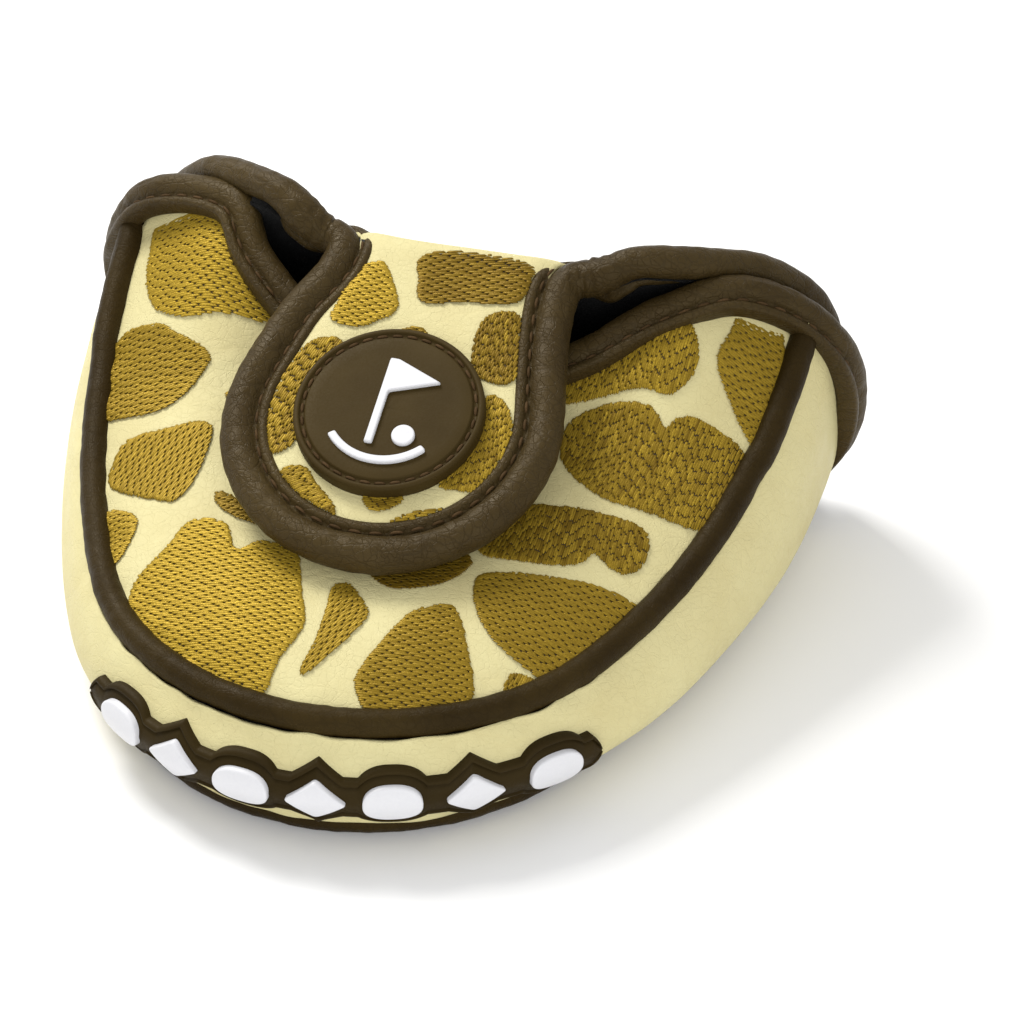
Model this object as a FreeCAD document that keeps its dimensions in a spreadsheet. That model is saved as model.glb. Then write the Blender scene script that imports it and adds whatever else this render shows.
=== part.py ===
"""Mallet putter head cover: a padded D-shaped pouch with an embroidered top panel, open along its
straight rear edge, and a keyhole-shaped closing flap that folds over from the rear panel.

Frame: X across the cover, -Y towards the curved front, +Z up, origin on the flat base under the
middle of the cover. All sizes are in millimetres.
"""
import FreeCAD, Part
import math
import os

import Sketcher

V = FreeCAD.Vector
UP = V(0, 0, 1)
LATERAL = V(1, 0, 0)

doc = FreeCAD.newDocument("putter_head_cover")

# ---------------------------------------------------------------- driving dimensions
SIZES = {
    # pouch outline, measured at the centre line of the top piping
    "half_width": 60.2,
    "front_depth": 52.5,
    "mouth_depth": 44.0,
    "apex_radius": 48.0,
    # outline of the base plate, inside the bottom piping
    "base_half_width": 53.8,
    "base_front_depth": 51.0,
    "base_rear_depth": 56.0,
    "base_apex_radius": 39.0,
    # height of the top piping: level along the front, then rising on one large arc
    "front_height": 21.8,
    "rise_start": 44.0,
    "rise_radius": 176.0,
    # layers of every padded wall
    "leather": 1.2,
    "foam": 2.6,
    "lining": 0.8,
    "layer_gap": 0.2,
    # padding shape of the top panel
    "crown": 7.0,
    "crown_width": 24.0,
    "ear_rise": 6.0,
    "ear_place": 42.0,
    "centre_sag": 3.0,
    # gusset bulge beyond the piping line
    "bulge": 5.6,
    # pipings and bindings
    "piping_radius": 2.4,
    "piping_core": 1.5,
    "rim_radius": 2.6,
    "rim_core": 1.5,
    "flap_roll_radius": 3.2,
    "flap_roll_core": 2.2,
    "thread_radius": 0.3,
    # folding line of the flap, which is the hinge axis
    "fold_depth": 33.0,
    "fold_height": 56.5,
    "flap_slope": 21.5,
    "fold_clearance": 3.6,
    # flap outline, at the centre line of its binding
    "flap_round": 26.0,
    "flap_reach": 35.0,
    "flap_taper": 12.0,
    "neck_round": 20.0,
    "neck_turn": 3.4,
    "flap_leather": 1.2,
    "flap_board": 1.8,
    "flap_lining_thick": 0.8,
    # badge, emblem and strip
    "badge_radius": 16.2,
    "badge_thick": 2.8,
    "badge_edge": 0.6,
    "badge_groove_radius": 14.7,
    "badge_groove_width": 0.9,
    "badge_groove_depth": 0.5,
    "emblem_raise": 0.7,
    "strip_thick": 1.8,
    "strip_height": 12.0,
    "disc_half_width": 4.7,
    "disc_half_height": 3.3,
    "diamond_half_width": 5.0,
    "diamond_half_height": 3.8,
    "motif_raise": 0.8,
    "embroidery_raise": 0.5,
    # magnetic closure
    "magnet_radius": 6.0,
    "magnet_thick": 1.2,
    "pouch_radius": 7.6,
    "pouch_wall": 0.3,
    "magnet_depth": 13.5,
}

sheet = doc.addObject("Spreadsheet::Sheet", "Sizes")
for row, (alias, number) in enumerate(SIZES.items(), start=1):
    sheet.set(f"A{row}", alias)
    sheet.set(f"B{row}", str(number))
    sheet.setAlias(f"B{row}", alias)
doc.recompute()


def size(alias):
    """The value of one driving dimension, read back from the sheet."""
    return float(sheet.get(alias))


nodes = []


def name_node(item, label):
    """Give a sub-part its name and remember it for the checks and the export."""
    item.Label = label
    nodes.append(item)
    return item


def shape_node(label, shape, placement=None):
    """A sub-part whose surface is free-form, so its shape is worked out here."""
    item = doc.addObject("Part::Feature", label)
    item.Shape = shape
    item.Placement = placement or FreeCAD.Placement()
    return name_node(item, label)


# ---------------------------------------------------------------- pouch outline
class Outline:
    """A D shape: straight rear edge, two large side arcs and one apex arc, all tangent."""

    def __init__(self, half_width, front_depth, mouth_depth, apex_radius):
        depth = front_depth + mouth_depth
        self.half_width = half_width
        self.mouth = mouth_depth
        self.apex_radius = apex_radius
        numerator = depth * depth + half_width * half_width - 2 * depth * apex_radius
        self.side_radius = numerator / (2 * half_width - 2 * apex_radius)
        self.side_centre = V(half_width - self.side_radius, mouth_depth, 0)
        self.apex_centre = V(0, apex_radius - front_depth, 0)
        line = self.apex_centre - self.side_centre
        self.change = math.atan2(line.y, line.x)

    def point(self, angle, offset=0.0):
        """The point whose outward normal makes this angle with +X; the left side mirrors the right."""
        on_left = angle < -math.pi / 2
        turn = -math.pi - angle if on_left else angle
        if turn > self.change:
            centre, radius = self.side_centre, self.side_radius
        else:
            centre, radius = self.apex_centre, self.apex_radius
        x = centre.x + (radius + offset) * math.cos(turn)
        y = centre.y + (radius + offset) * math.sin(turn)
        return V(-x if on_left else x, y, 0)

    def edges(self, offset, rear):
        """Closed outline, offset outwards, with straight sides from the mouth back to the rear."""
        middle = self.change / 2
        apex = -math.pi / 2
        turns = [0.0, middle, self.change, apex, -math.pi - self.change, -math.pi - middle, -math.pi]
        spots = [self.point(turn, offset) for turn in turns]
        right = V(self.half_width + offset, rear, 0)
        left = V(-self.half_width - offset, rear, 0)
        found = [Part.Arc(*spots[start:start + 3]).toShape() for start in (0, 2, 4)]
        if rear > self.mouth:
            found.insert(0, Part.makeLine(right, spots[0]))
            found.append(Part.makeLine(spots[6], left))
        near_left = left if rear > self.mouth else spots[6]
        near_right = right if rear > self.mouth else spots[0]
        found.append(Part.makeLine(near_left, near_right))
        return found

    def prism(self, offset, rear, bottom, top):
        """A solid of this outline between two heights."""
        wire = Part.Wire(self.edges(offset, rear))
        wire.translate(V(0, 0, bottom))
        return Part.Face(wire).extrude(V(0, 0, top - bottom))


pouch = Outline(size("half_width"), size("front_depth"), size("mouth_depth"), size("apex_radius"))
GAP = size("layer_gap")
LAYERS = [("panel", size("leather")), ("foam", size("foam")), ("lining", size("lining"))]


def layer_depths():
    """Each layer's name with its outer and inner depth below the wall's outer surface."""
    found = []
    outer = 0.0
    for name, thick in LAYERS:
        found.append((name, outer, outer + thick))
        outer += thick + GAP
    return found


def smooth(value):
    """Smooth step from 0 to 1."""
    value = min(max(value, 0.0), 1.0)
    return value * value * (3 - 2 * value)


def piping_height(y):
    """Height of the top piping's centre line."""
    run = max(y + size("rise_start"), 0.0)
    radius = size("rise_radius")
    return size("front_height") + radius - math.sqrt(radius * radius - run * run)


def inset_distance(x, y):
    """How far a point lies inside the top piping's outline."""
    x = abs(x)
    if y > pouch.mouth:
        return pouch.half_width - x
    turn = math.atan2(y - pouch.apex_centre.y, x)
    if turn < pouch.change:
        return pouch.apex_radius - math.hypot(x, y - pouch.apex_centre.y)
    return pouch.side_radius - math.hypot(x - pouch.side_centre.x, y - pouch.mouth)


EAR_WIDTH = 14.0
EAR_START, EAR_RUN = 8.0, 28.0
SAG_START, SAG_RUN = -5.0, 22.0


def panel_height(x, y):
    """Height of the top panel's outer surface: the padding's crown, two ears and a dip between them."""
    inside = min(max(inset_distance(x, y), 0.0) / size("crown_width"), 1.0)
    ear = size("ear_rise") * smooth((y - EAR_START) / EAR_RUN)
    ear *= math.exp(-(((abs(x) - size("ear_place")) / EAR_WIDTH) ** 2))
    sag = size("centre_sag") * smooth((y - SAG_START) / SAG_RUN) * math.exp(-((x / EAR_WIDTH) ** 2))
    padding = size("crown") + ear - sag
    return piping_height(y) + padding * (1 - (1 - inside) ** 2)


def height_slab(lift, thick):
    """A sheet of the top panel's form, with its top face at this lift above the outer surface."""
    columns = [-66 + 132 * step / 22 for step in range(23)]
    rows = [-58 + 110 * step / 20 for step in range(21)]
    grid = [[V(x, y, panel_height(x, y) + lift) for y in rows] for x in columns]
    surface = Part.BSplineSurface()
    surface.interpolate(grid)
    return surface.toShape().extrude(V(0, 0, -thick))


# ---------------------------------------------------------------- base
base = Outline(
    size("base_half_width"), size("base_front_depth"), size("mouth_depth"), size("base_apex_radius")
)


def origin_plane(body, role):
    """One of the body's own origin planes."""
    return [item for item in body.Origin.OriginFeatures if item.Role == role][0]


def new_sketch(body, label):
    """A sketch on the body's own XY plane."""
    sketch = body.newObject("Sketcher::SketchObject", label)
    sketch.AttachmentSupport = [(origin_plane(body, "XY_Plane"), "")]
    sketch.MapMode = "FlatFace"
    return sketch


def pad(body, sketch, label, alias):
    """Pad a sketch by a thickness from the sheet."""
    feature = body.newObject("PartDesign::Pad", label)
    feature.Profile = sketch
    feature.setExpression("Length", f"Sizes.{alias}")
    return feature


def pocket(body, sketch, label, alias):
    """Cut a sketch upwards into the body, through the thickness that the sheet gives."""
    feature = body.newObject("PartDesign::Pocket", label)
    feature.Profile = sketch
    feature.Reversed = True
    feature.setExpression("Length", f"Sizes.{alias}")
    return feature


def circle_sketch(body, label, alias, centre=None):
    """A circle whose radius is bound to the sheet."""
    sketch = new_sketch(body, label)
    centre = centre or V(0, 0, 0)
    ring = sketch.addGeometry(Part.Circle(centre, UP, size(alias)), False)
    sketch.addConstraint(Sketcher.Constraint("Radius", ring, size(alias)))
    sketch.setExpression("Constraints[0]", f"Sizes.{alias}")
    sketch.addConstraint(Sketcher.Constraint("DistanceX", -1, 1, ring, 3, centre.x))
    sketch.addConstraint(Sketcher.Constraint("DistanceY", -1, 1, ring, 3, centre.y))
    return sketch


def flat_body(label, alias, draw):
    """A flat layer: one closed sketch, drawn by a function, padded by a thickness from the sheet."""
    body = doc.addObject("PartDesign::Body", label)
    sketch = new_sketch(body, f"{label}_outline")
    draw(sketch)
    doc.recompute()
    pad(body, sketch, f"{label}_pad", alias)
    doc.recompute()
    return body


def draw_base(sketch):
    """The base outline: rear line, two straight sides, two side arcs and the apex arc."""
    for edge in base.edges(0.0, size("base_rear_depth")):
        curve = edge.Curve
        first, last = edge.ParameterRange
        if isinstance(curve, Part.Line):
            sketch.addGeometry(Part.LineSegment(edge.valueAt(first), edge.valueAt(last)), False)
        else:
            sketch.addGeometry(Part.ArcOfCircle(curve, first, last), False)
    arcs = [index for index, item in enumerate(sketch.Geometry) if isinstance(item, Part.ArcOfCircle)]
    for index in arcs:
        sketch.addConstraint(Sketcher.Constraint("Radius", index, sketch.Geometry[index].Radius))
    sketch.setExpression(f"Constraints[{len(arcs) // 2}]", "Sizes.base_apex_radius")


for layer, (name, thick) in zip(("leather", "foam", "lining"), LAYERS):
    body = flat_body(f"bottom_{name}", layer, draw_base)
    depth = dict((entry[0], entry[1]) for entry in layer_depths())[name]
    body.Placement = FreeCAD.Placement(V(0, 0, depth), FreeCAD.Rotation())
    name_node(body, f"bottom_{name}")

# ---------------------------------------------------------------- gusset
BASE_DEEP = 5.0          # depth of the piled base layers plus a gap
GUSSET_REAR = 48.0
SEAM_CLEAR = 2.4         # how far the gusset's edges stay from a piping's centre line


def base_offset(angle):
    """Offset of the bottom piping from the top piping's outline: in at the sides, out at the apex."""
    return 5.0 * math.sin(angle) ** 2 - 3.5


def stations(count, rear=None):
    """Angles right round the outline, rear right to rear left, with a straight run to the rear."""
    change = pouch.change
    sides = [change * step / count for step in range(count)]
    apex = [change + (-math.pi / 2 - change) * step / count for step in range(count)]
    right = sides + apex
    angles = right + [-math.pi / 2] + [-math.pi - angle for angle in reversed(right)]
    found = [(pouch.point(angle), V(math.cos(angle), math.sin(angle), 0), angle) for angle in angles]
    if rear:
        run = V(0, rear - pouch.mouth, 0)
        found.insert(0, (found[0][0] + run, found[0][1], found[0][2]))
        found.append((found[-1][0] + run, found[-1][1], found[-1][2]))
    return found


def gusset_profile(angle, top, outer):
    """Points up the gusset at one station as (offset, height), for a surface this far inside the skin."""
    low = base_offset(angle) + SEAM_CLEAR - outer
    bulge = size("bulge")
    foot = BASE_DEEP + 0.85 * outer
    head = top - SEAM_CLEAR - 0.85 * outer
    return [
        (low, foot),
        (bulge - 1.0 - outer, foot + 0.22 * (head - foot)),
        (bulge - outer, foot + 0.45 * (head - foot)),
        (bulge - 0.6 - outer, foot + 0.68 * (head - foot)),
        (SEAM_CLEAR - outer, head),
    ]


def gusset_section(place, outer, inner):
    """Closed wire across the gusset wall between two depths."""
    spot, normal, angle = place
    top = piping_height(spot.y)

    def lift(points):
        return [V(spot.x, spot.y, height) + normal * offset for offset, height in points]

    outside = lift(gusset_profile(angle, top, outer))
    inside = lift(gusset_profile(angle, top, outer))
    inside = [point - normal * (inner - outer) for point in inside]
    out_curve = Part.BSplineCurve()
    out_curve.interpolate(outside)
    in_curve = Part.BSplineCurve()
    in_curve.interpolate(list(reversed(inside)))
    edges = [
        out_curve.toShape(),
        Part.makeLine(outside[-1], inside[-1]),
        in_curve.toShape(),
        Part.makeLine(inside[0], outside[0]),
    ]
    return Part.Wire(edges)


# ---------------------------------------------------------------- round cords and rolls
def ring(centre, across, over, radius):
    """A circle as two arcs that always start at the same side, so that lofts don't twist."""
    near = centre + across * radius
    far = centre - across * radius
    return Part.Wire([
        Part.Arc(near, centre + over * radius, far).toShape(),
        Part.Arc(far, centre - over * radius, near).toShape(),
    ])


def tube(points, directions, reference, radius):
    """A round cord along a curve, lofted through rings square to it."""
    rings = []
    for point, along in zip(points, directions):
        across = reference - along * reference.dot(along)
        across.normalize()
        rings.append(ring(point, across, along.cross(across), radius))
    return Part.makeLoft(rings, True, False)


def curve_frames(points, count):
    """Evenly spaced points and directions on a smooth curve through the given points."""
    curve = Part.BSplineCurve()
    curve.interpolate(points)
    edge = curve.toShape()
    steps = [edge.getParameterByLength(edge.Length * step / count) for step in range(count + 1)]
    return [edge.valueAt(step) for step in steps], [edge.tangentAt(step).normalize() for step in steps]


def cord_in_cover(cover_label, core_label, points, reference, radius, core, count):
    """A covering tube with its filler cord inside, as two sub-parts."""
    places, directions = curve_frames(points, count)
    outside = tube(places, directions, reference, radius)
    bore = tube(places, directions, reference, core + 0.1)
    shape_node(cover_label, outside.cut(bore))
    shape_node(core_label, tube(places, directions, reference, core))


PIPING_END = 41.5
top_line = [
    V(spot.x, spot.y, piping_height(spot.y)) for spot, normal, angle in stations(5) if spot.y < PIPING_END
]
end_spot = pouch.point(math.asin((PIPING_END - pouch.mouth) / pouch.side_radius))
end_point = V(end_spot.x, PIPING_END, piping_height(PIPING_END))
top_line = [end_point] + top_line + [V(-end_point.x, end_point.y, end_point.z)]
cord_in_cover(
    "top_piping", "top_piping_cord", top_line, UP, size("piping_radius"), size("piping_core"), 40
)

BOTTOM_PIPING_HEIGHT = 2.65
bottom_line = []
for spot, normal, angle in stations(5, GUSSET_REAR):
    seam = spot + normal * base_offset(angle)
    bottom_line.append(V(seam.x, seam.y, BOTTOM_PIPING_HEIGHT))
cord_in_cover(
    "bottom_piping", "bottom_piping_cord", bottom_line, UP, size("piping_radius"), size("piping_core"), 40
)

# ---------------------------------------------------------------- rim bindings
# Centre line of the roll on the mouth's front edge, from the dip at the middle to each foot. The cover is
# soft, so its two sides aren't quite alike; the left side's points are given mirrored.
FRONT_RIM_RIGHT = [
    V(0, 17.5, 38), V(24.4, 25.7, 44.8), V(37.1, 33.2, 51.7), V(48.3, 40, 54.2), V(58.8, 44.7, 49.4),
    V(66, 47.8, 40.6), V(68, 50.8, 30.6), V(66.3, 52.7, 18.7), V(60, 52, 8.5),
]
FRONT_RIM_LEFT = [
    V(0, 17.5, 38), V(24.1, 24.6, 45.2), V(35.2, 33.4, 52.8), V(46.2, 41.4, 55.9), V(58.8, 44.4, 50.5),
    V(64.9, 47.6, 40.4), V(67, 51, 31.2), V(65.5, 52.6, 19), V(60, 52, 8.5),
]
# centre line of the roll on the rear panel's edge, from the fold to each foot
REAR_RIM_RIGHT = [
    V(24.3, 33.2, 56.1), V(27.2, 33.8, 56.6), V(31.7, 35, 59), V(38.1, 37.6, 59.4), V(45.7, 43.7, 56.6),
    V(52.4, 49.2, 52.7), V(59.8, 54.2, 43.9), V(63.7, 55.9, 29.9), V(62.5, 57, 17.5), V(59.5, 57.8, 9),
]
REAR_RIM_LEFT = [
    V(25.3, 33.9, 56.6), V(27.2, 34.8, 57.9), V(30.9, 36.8, 60.7), V(37.7, 40.8, 60.2), V(46.8, 46.6, 56.8),
    V(53.3, 50.6, 50), V(58.4, 53.9, 41), V(61.4, 55.8, 29.9), V(61.8, 57.1, 18.2), V(59.5, 57.8, 9),
]


def mirrored(points):
    """The same points on the left side."""
    return [V(-point.x, point.y, point.z) for point in points]


front_line = list(reversed(FRONT_RIM_RIGHT)) + mirrored(FRONT_RIM_LEFT[1:])
DEPTHWAYS = V(0, 1, 0)
FRONT_RINGS = 48
cord_in_cover(
    "front_binding", "front_binding_filler", front_line, DEPTHWAYS, size("rim_radius"), size("rim_core"),
    FRONT_RINGS,
)


# the rear rolls are pressed flat where the front one touches them
ROLL_GAP = 0.03
rim_places, rim_directions = curve_frames(front_line, FRONT_RINGS)
front_roll = tube(rim_places, rim_directions, DEPTHWAYS, size("rim_radius") + ROLL_GAP)


def rear_binding(side, rim):
    """The rolled edge and its filler on one side of the rear panel; the left one is mirrored into place."""
    places, directions = curve_frames(rim, 24)
    outside = tube(places, directions, DEPTHWAYS, size("rim_radius"))
    bore = tube(places, directions, DEPTHWAYS, size("rim_core") + 0.1)
    shapes = [outside.cut(bore), tube(places, directions, DEPTHWAYS, size("rim_core"))]
    if side == "left":
        shapes = [shape.mirror(V(0, 0, 0), LATERAL) for shape in shapes]
    shape_node(f"rear_binding_{side}", shapes[0].cut(front_roll))
    shape_node(f"rear_binding_filler_{side}", shapes[1])


rear_binding("right", REAR_RIM_RIGHT)
rear_binding("left", REAR_RIM_LEFT)

RIM_CLEAR = size("rim_radius") + 0.5


def behind_rim():
    """Everything behind the gusset's rear edge, which follows each side's rim roll down to the base."""
    halves = []
    for rim, direction in ((FRONT_RIM_RIGHT, 1), (FRONT_RIM_LEFT, -1)):
        edge = [V(0, point.y - RIM_CLEAR, point.z) for point in rim[-5:-1]]
        edge = [V(0, edge[0].y, 90)] + edge + [V(0, GUSSET_REAR, 0), V(0, 90, 0), V(0, 90, 90)]
        halves.append(Part.Face(Part.makePolygon(edge + edge[:1])).extrude(V(90 * direction, 0, 0)))
    return halves[0].fuse(halves[1])


rim_side = behind_rim()
for name, outer, inner in layer_depths():
    sections = [gusset_section(place, outer, inner) for place in stations(4, GUSSET_REAR)]
    label = "gusset_band" if name == "panel" else f"gusset_{name}"
    shape_node(label, Part.makeLoft(sections, True, False).cut(rim_side))

# ---------------------------------------------------------------- top panel
PIPING_CLEAR = size("piping_radius") + 0.4


def mouth_cutter():
    """Everything behind the top panel's rear edge, which stops short of the rim roll."""
    edge = [V(point.x, point.y - RIM_CLEAR, 0) for point in front_line if point.z > 45 or abs(point.x) < 30]
    edge = [V(70, 42, 0)] + edge + [V(-70, 42, 0)]
    curve = Part.BSplineCurve()
    curve.interpolate(edge)
    back = [edge[-1], V(-70, 80, 0), V(70, 80, 0), edge[0]]
    sides = [Part.makeLine(back[step], back[step + 1]) for step in range(3)]
    return Part.Face(Part.Wire([curve.toShape()] + sides)).extrude(V(0, 0, 90))


behind_mouth = mouth_cutter()


def on_panel(solid, offset):
    """Trim a sheet of the top panel's form to the panel's outline."""
    return solid.common(pouch.prism(offset, pouch.mouth, 0, 90)).cut(behind_mouth)


# the closing magnet sits in a pouch let into the foam, tilted with the panel
slope = math.atan2(
    panel_height(0, -size("magnet_depth") + 1) - panel_height(0, -size("magnet_depth") - 1), 2.0
)
magnet_top = panel_height(0, -size("magnet_depth")) - size("leather") - 0.45
PANEL_MAGNET = FreeCAD.Placement(
    V(0, -size("magnet_depth"), magnet_top), FreeCAD.Rotation(LATERAL, math.degrees(slope))
)
magnet_hole = Part.makeCylinder(size("pouch_radius") + 0.4, 20, V(0, -size("magnet_depth"), magnet_top - 10))

for name, outer, inner in layer_depths():
    layer = on_panel(height_slab(-outer, inner - outer), -PIPING_CLEAR - 0.25 * outer)
    if name == "foam":
        layer = layer.cut(magnet_hole)
    shape_node(f"top_{name}", layer)

# ---------------------------------------------------------------- rear panel
WALL_HALF = (size("leather") + size("foam") + size("lining") + 2 * GAP) / 2
REAR_FOOT = 57.0
LEAN_SHARE = 0.8         # how much of a distance along the leaning wall shows in its height


def rear_depth(x, z):
    """Middle surface of the rear wall: upright at the foot, leaning forwards to the fold."""
    share = (z / size("fold_height")) ** 2.2
    lean = (REAR_FOOT - size("fold_depth")) * share * (1 - 0.7 * (x / 60) ** 2)
    return REAR_FOOT + 1.6 * (x / 60) ** 4 - lean


def rear_slab(outer, inner):
    """A sheet of the rear wall between two depths below its outer face."""
    columns = [-66 + 132 * step / 16 for step in range(17)]
    rows = [2 + 62 * step / 12 for step in range(13)]
    grid = [[V(x, rear_depth(x, z) + WALL_HALF - outer, z) for z in rows] for x in columns]
    surface = Part.BSplineSurface()
    surface.interpolate(grid)
    return surface.toShape().extrude(V(0, outer - inner, 0))


def rear_side(rim):
    """One side of the rear wall's outline, inside the rim roll, from the neck to the foot."""
    inset = size("rim_radius") + 0.4
    edge = [V(rim[0].x, 0, rim[0].z - inset)]
    for before, point, after in zip(rim[0:-2], rim[1:-1], rim[2:]):
        along = V(after.x - before.x, 0, after.z - before.z).normalize()
        edge.append(V(point.x + along.z * inset, 0, point.z - along.x * inset * LEAN_SHARE))
    return edge + [V(57, 0, 10), V(54, 0, BASE_DEEP + 0.3)]


def rear_outline():
    """The wall's outline seen from behind, as a solid to trim with."""
    right = rear_side(REAR_RIM_RIGHT)
    left = mirrored(list(reversed(rear_side(REAR_RIM_LEFT))))
    return Part.Face(Part.makePolygon(right + left + [right[0]])).extrude(V(0, 90, 0))


fold_place = V(0, size("fold_depth"), size("fold_height"))
fold_room = Part.makeCylinder(
    size("fold_clearance"), 60, V(-30, size("fold_depth"), size("fold_height")), LATERAL
)
behind = rear_outline()
rim_room = tube(rim_places, rim_directions, DEPTHWAYS, size("rim_radius") + 0.3)
for name, outer, inner in layer_depths():
    layer = rear_slab(outer, inner).common(behind).cut(fold_room).cut(rim_room)
    shape_node(f"rear_{name}", layer)

# ---------------------------------------------------------------- flap
# The flap is drawn flat: X across it, -Y towards its tip, the fold along the X axis.
FLAP = FreeCAD.Placement(fold_place, FreeCAD.Rotation(LATERAL, size("flap_slope")))


def flap_corners(inset):
    """Right-hand corner points of the keyhole outline, inset from the binding's centre line."""
    taper = math.radians(size("flap_taper"))
    radius = size("flap_round") - inset
    tangent = V(radius * math.cos(taper), -size("flap_reach") + radius * math.sin(taper), 0)
    bend = size("neck_round") + inset
    start_y = -size("neck_turn")
    bend_y = start_y - bend * math.sin(taper)
    bend_x = tangent.x - (bend_y - tangent.y) * math.tan(taper)
    neck_x = bend_x - bend * (1 - math.cos(taper))
    middle = V(
        neck_x + bend * (1 - math.cos(taper / 2)), start_y - bend * math.sin(taper / 2), 0
    )
    return V(neck_x, start_y, 0), middle, V(bend_x, bend_y, 0), tangent


def flap_curves(inset, top):
    """Sketch curves of the flap, from the right of the fold round the tip to the left."""
    start, middle, bend, tangent = flap_corners(inset)
    tip = V(0, -size("flap_reach") - size("flap_round") + inset, 0)
    flip = mirrored([start, middle, bend, tangent])
    right_top = V(start.x, top, 0)
    left_top = V(-start.x, top, 0)
    return [
        Part.LineSegment(right_top, start),
        Part.Arc(start, middle, bend),
        Part.LineSegment(bend, tangent),
        Part.Arc(tangent, tip, flip[3]),
        Part.LineSegment(flip[3], flip[2]),
        Part.Arc(flip[2], flip[1], flip[0]),
        Part.LineSegment(flip[0], left_top),
        Part.LineSegment(left_top, right_top),
    ]


FLAP_EDGE = size("flap_roll_radius") + 0.3


def draw_flap(sketch):
    """The flap's layers end inside the binding."""
    curves = flap_curves(FLAP_EDGE, 0.0)
    for curve in curves:
        sketch.addGeometry(curve, False)
    sketch.addConstraint(Sketcher.Constraint("Radius", 3, size("flap_round") - FLAP_EDGE))
    sketch.setExpression("Constraints[0]", f"Sizes.flap_round - {FLAP_EDGE}")


FLAP_LAYERS = [
    ("panel", "flap_leather", 0.9),
    ("board", "flap_board", -1.0),
    ("lining", "flap_lining_thick", -1.9),
]
MAGNET_REACH = 50.5


def on_flap(height, x=0.0, y=0.0):
    """Placement of something lying on the flap at this height above its middle."""
    return FLAP.multiply(FreeCAD.Placement(V(x, y, height), FreeCAD.Rotation()))


for name, alias, height in FLAP_LAYERS:
    body = flat_body(f"flap_{name}", alias, draw_flap)
    if name == "board":
        hole = circle_sketch(body, "magnet_seat", "pouch_radius", V(0, -MAGNET_REACH, 0))
        doc.recompute()
        solid_volume = body.Shape.Volume
        pocket(body, hole, "magnet_seat_cut", alias)
        doc.recompute()
        if body.Shape.Volume > solid_volume - 100:
            raise RuntimeError("the magnet's seat cut nothing from the flap board")
    body.Placement = on_flap(height)
    name_node(body, f"flap_{name}")

# binding: it starts on the fold line, facing along the hinge axis, and turns on to the flap's edge
def flap_roll(radius):
    """A round roll along the flap's edge."""
    start, middle, bend, tangent = flap_corners(0.0)
    turn = size("neck_turn")
    half = turn * (1 - math.cos(math.pi / 4))
    corner = [V(start.x + turn, 0, 0), V(start.x + half, -turn + turn * math.sin(math.pi / 4), 0), start]
    flip = mirrored([start, middle, bend, tangent])
    flip_corner = mirrored(corner)
    tip = V(0, -size("flap_reach") - size("flap_round"), 0)
    path = Part.Wire([
        Part.Arc(*corner).toShape(),
        Part.Arc(start, middle, bend).toShape(),
        Part.makeLine(bend, tangent),
        Part.Arc(tangent, tip, flip[3]).toShape(),
        Part.makeLine(flip[3], flip[2]),
        Part.Arc(flip[2], flip[1], flip[0]).toShape(),
        Part.Arc(flip_corner[2], flip_corner[1], flip_corner[0]).toShape(),
    ])
    section = Part.Wire([Part.makeCircle(radius, corner[0], LATERAL)])
    return path.makePipeShell([section], True, False)


roll = flap_roll(size("flap_roll_radius"))
shape_node("flap_binding", roll.cut(flap_roll(size("flap_roll_core") + 0.1)), FLAP)
shape_node("flap_binding_filler", flap_roll(size("flap_roll_core")), FLAP)


# ---------------------------------------------------------------- magnets
def magnet_pair(prefix, placement):
    """A disc magnet and the thin fabric pouch that holds it, hanging below the placement's plane."""
    disc = doc.addObject("PartDesign::Body", f"{prefix}_magnet")
    sketch = circle_sketch(disc, f"{prefix}_magnet_circle", "magnet_radius")
    doc.recompute()
    pad(disc, sketch, f"{prefix}_magnet_pad", "magnet_thick")
    drop = V(0, 0, -size("magnet_thick"))
    disc.Placement = placement.multiply(FreeCAD.Placement(drop, FreeCAD.Rotation()))
    name_node(disc, f"{prefix}_magnet")
    wall = size("pouch_wall")
    outside = size("magnet_radius") + 0.1 + wall
    height = size("magnet_thick") + wall + 0.05
    shell = Part.makeCylinder(outside, height, V(0, 0, -height))
    room = Part.makeCylinder(outside - wall, height - wall, V(0, 0, wall - height))
    flange = Part.makeCylinder(size("pouch_radius") - 0.3, wall, V(0, 0, -height))
    pouch_shape = shell.fuse(flange).cut(room)
    shape_node(f"{prefix}_magnet_pouch", pouch_shape, placement)


magnet_pair("panel", PANEL_MAGNET)
magnet_pair("flap", on_flap(0.7, 0.0, -MAGNET_REACH))

# ---------------------------------------------------------------- badge
BADGE_HEIGHT = 0.9 + size("flap_leather") + 0.1


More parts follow.
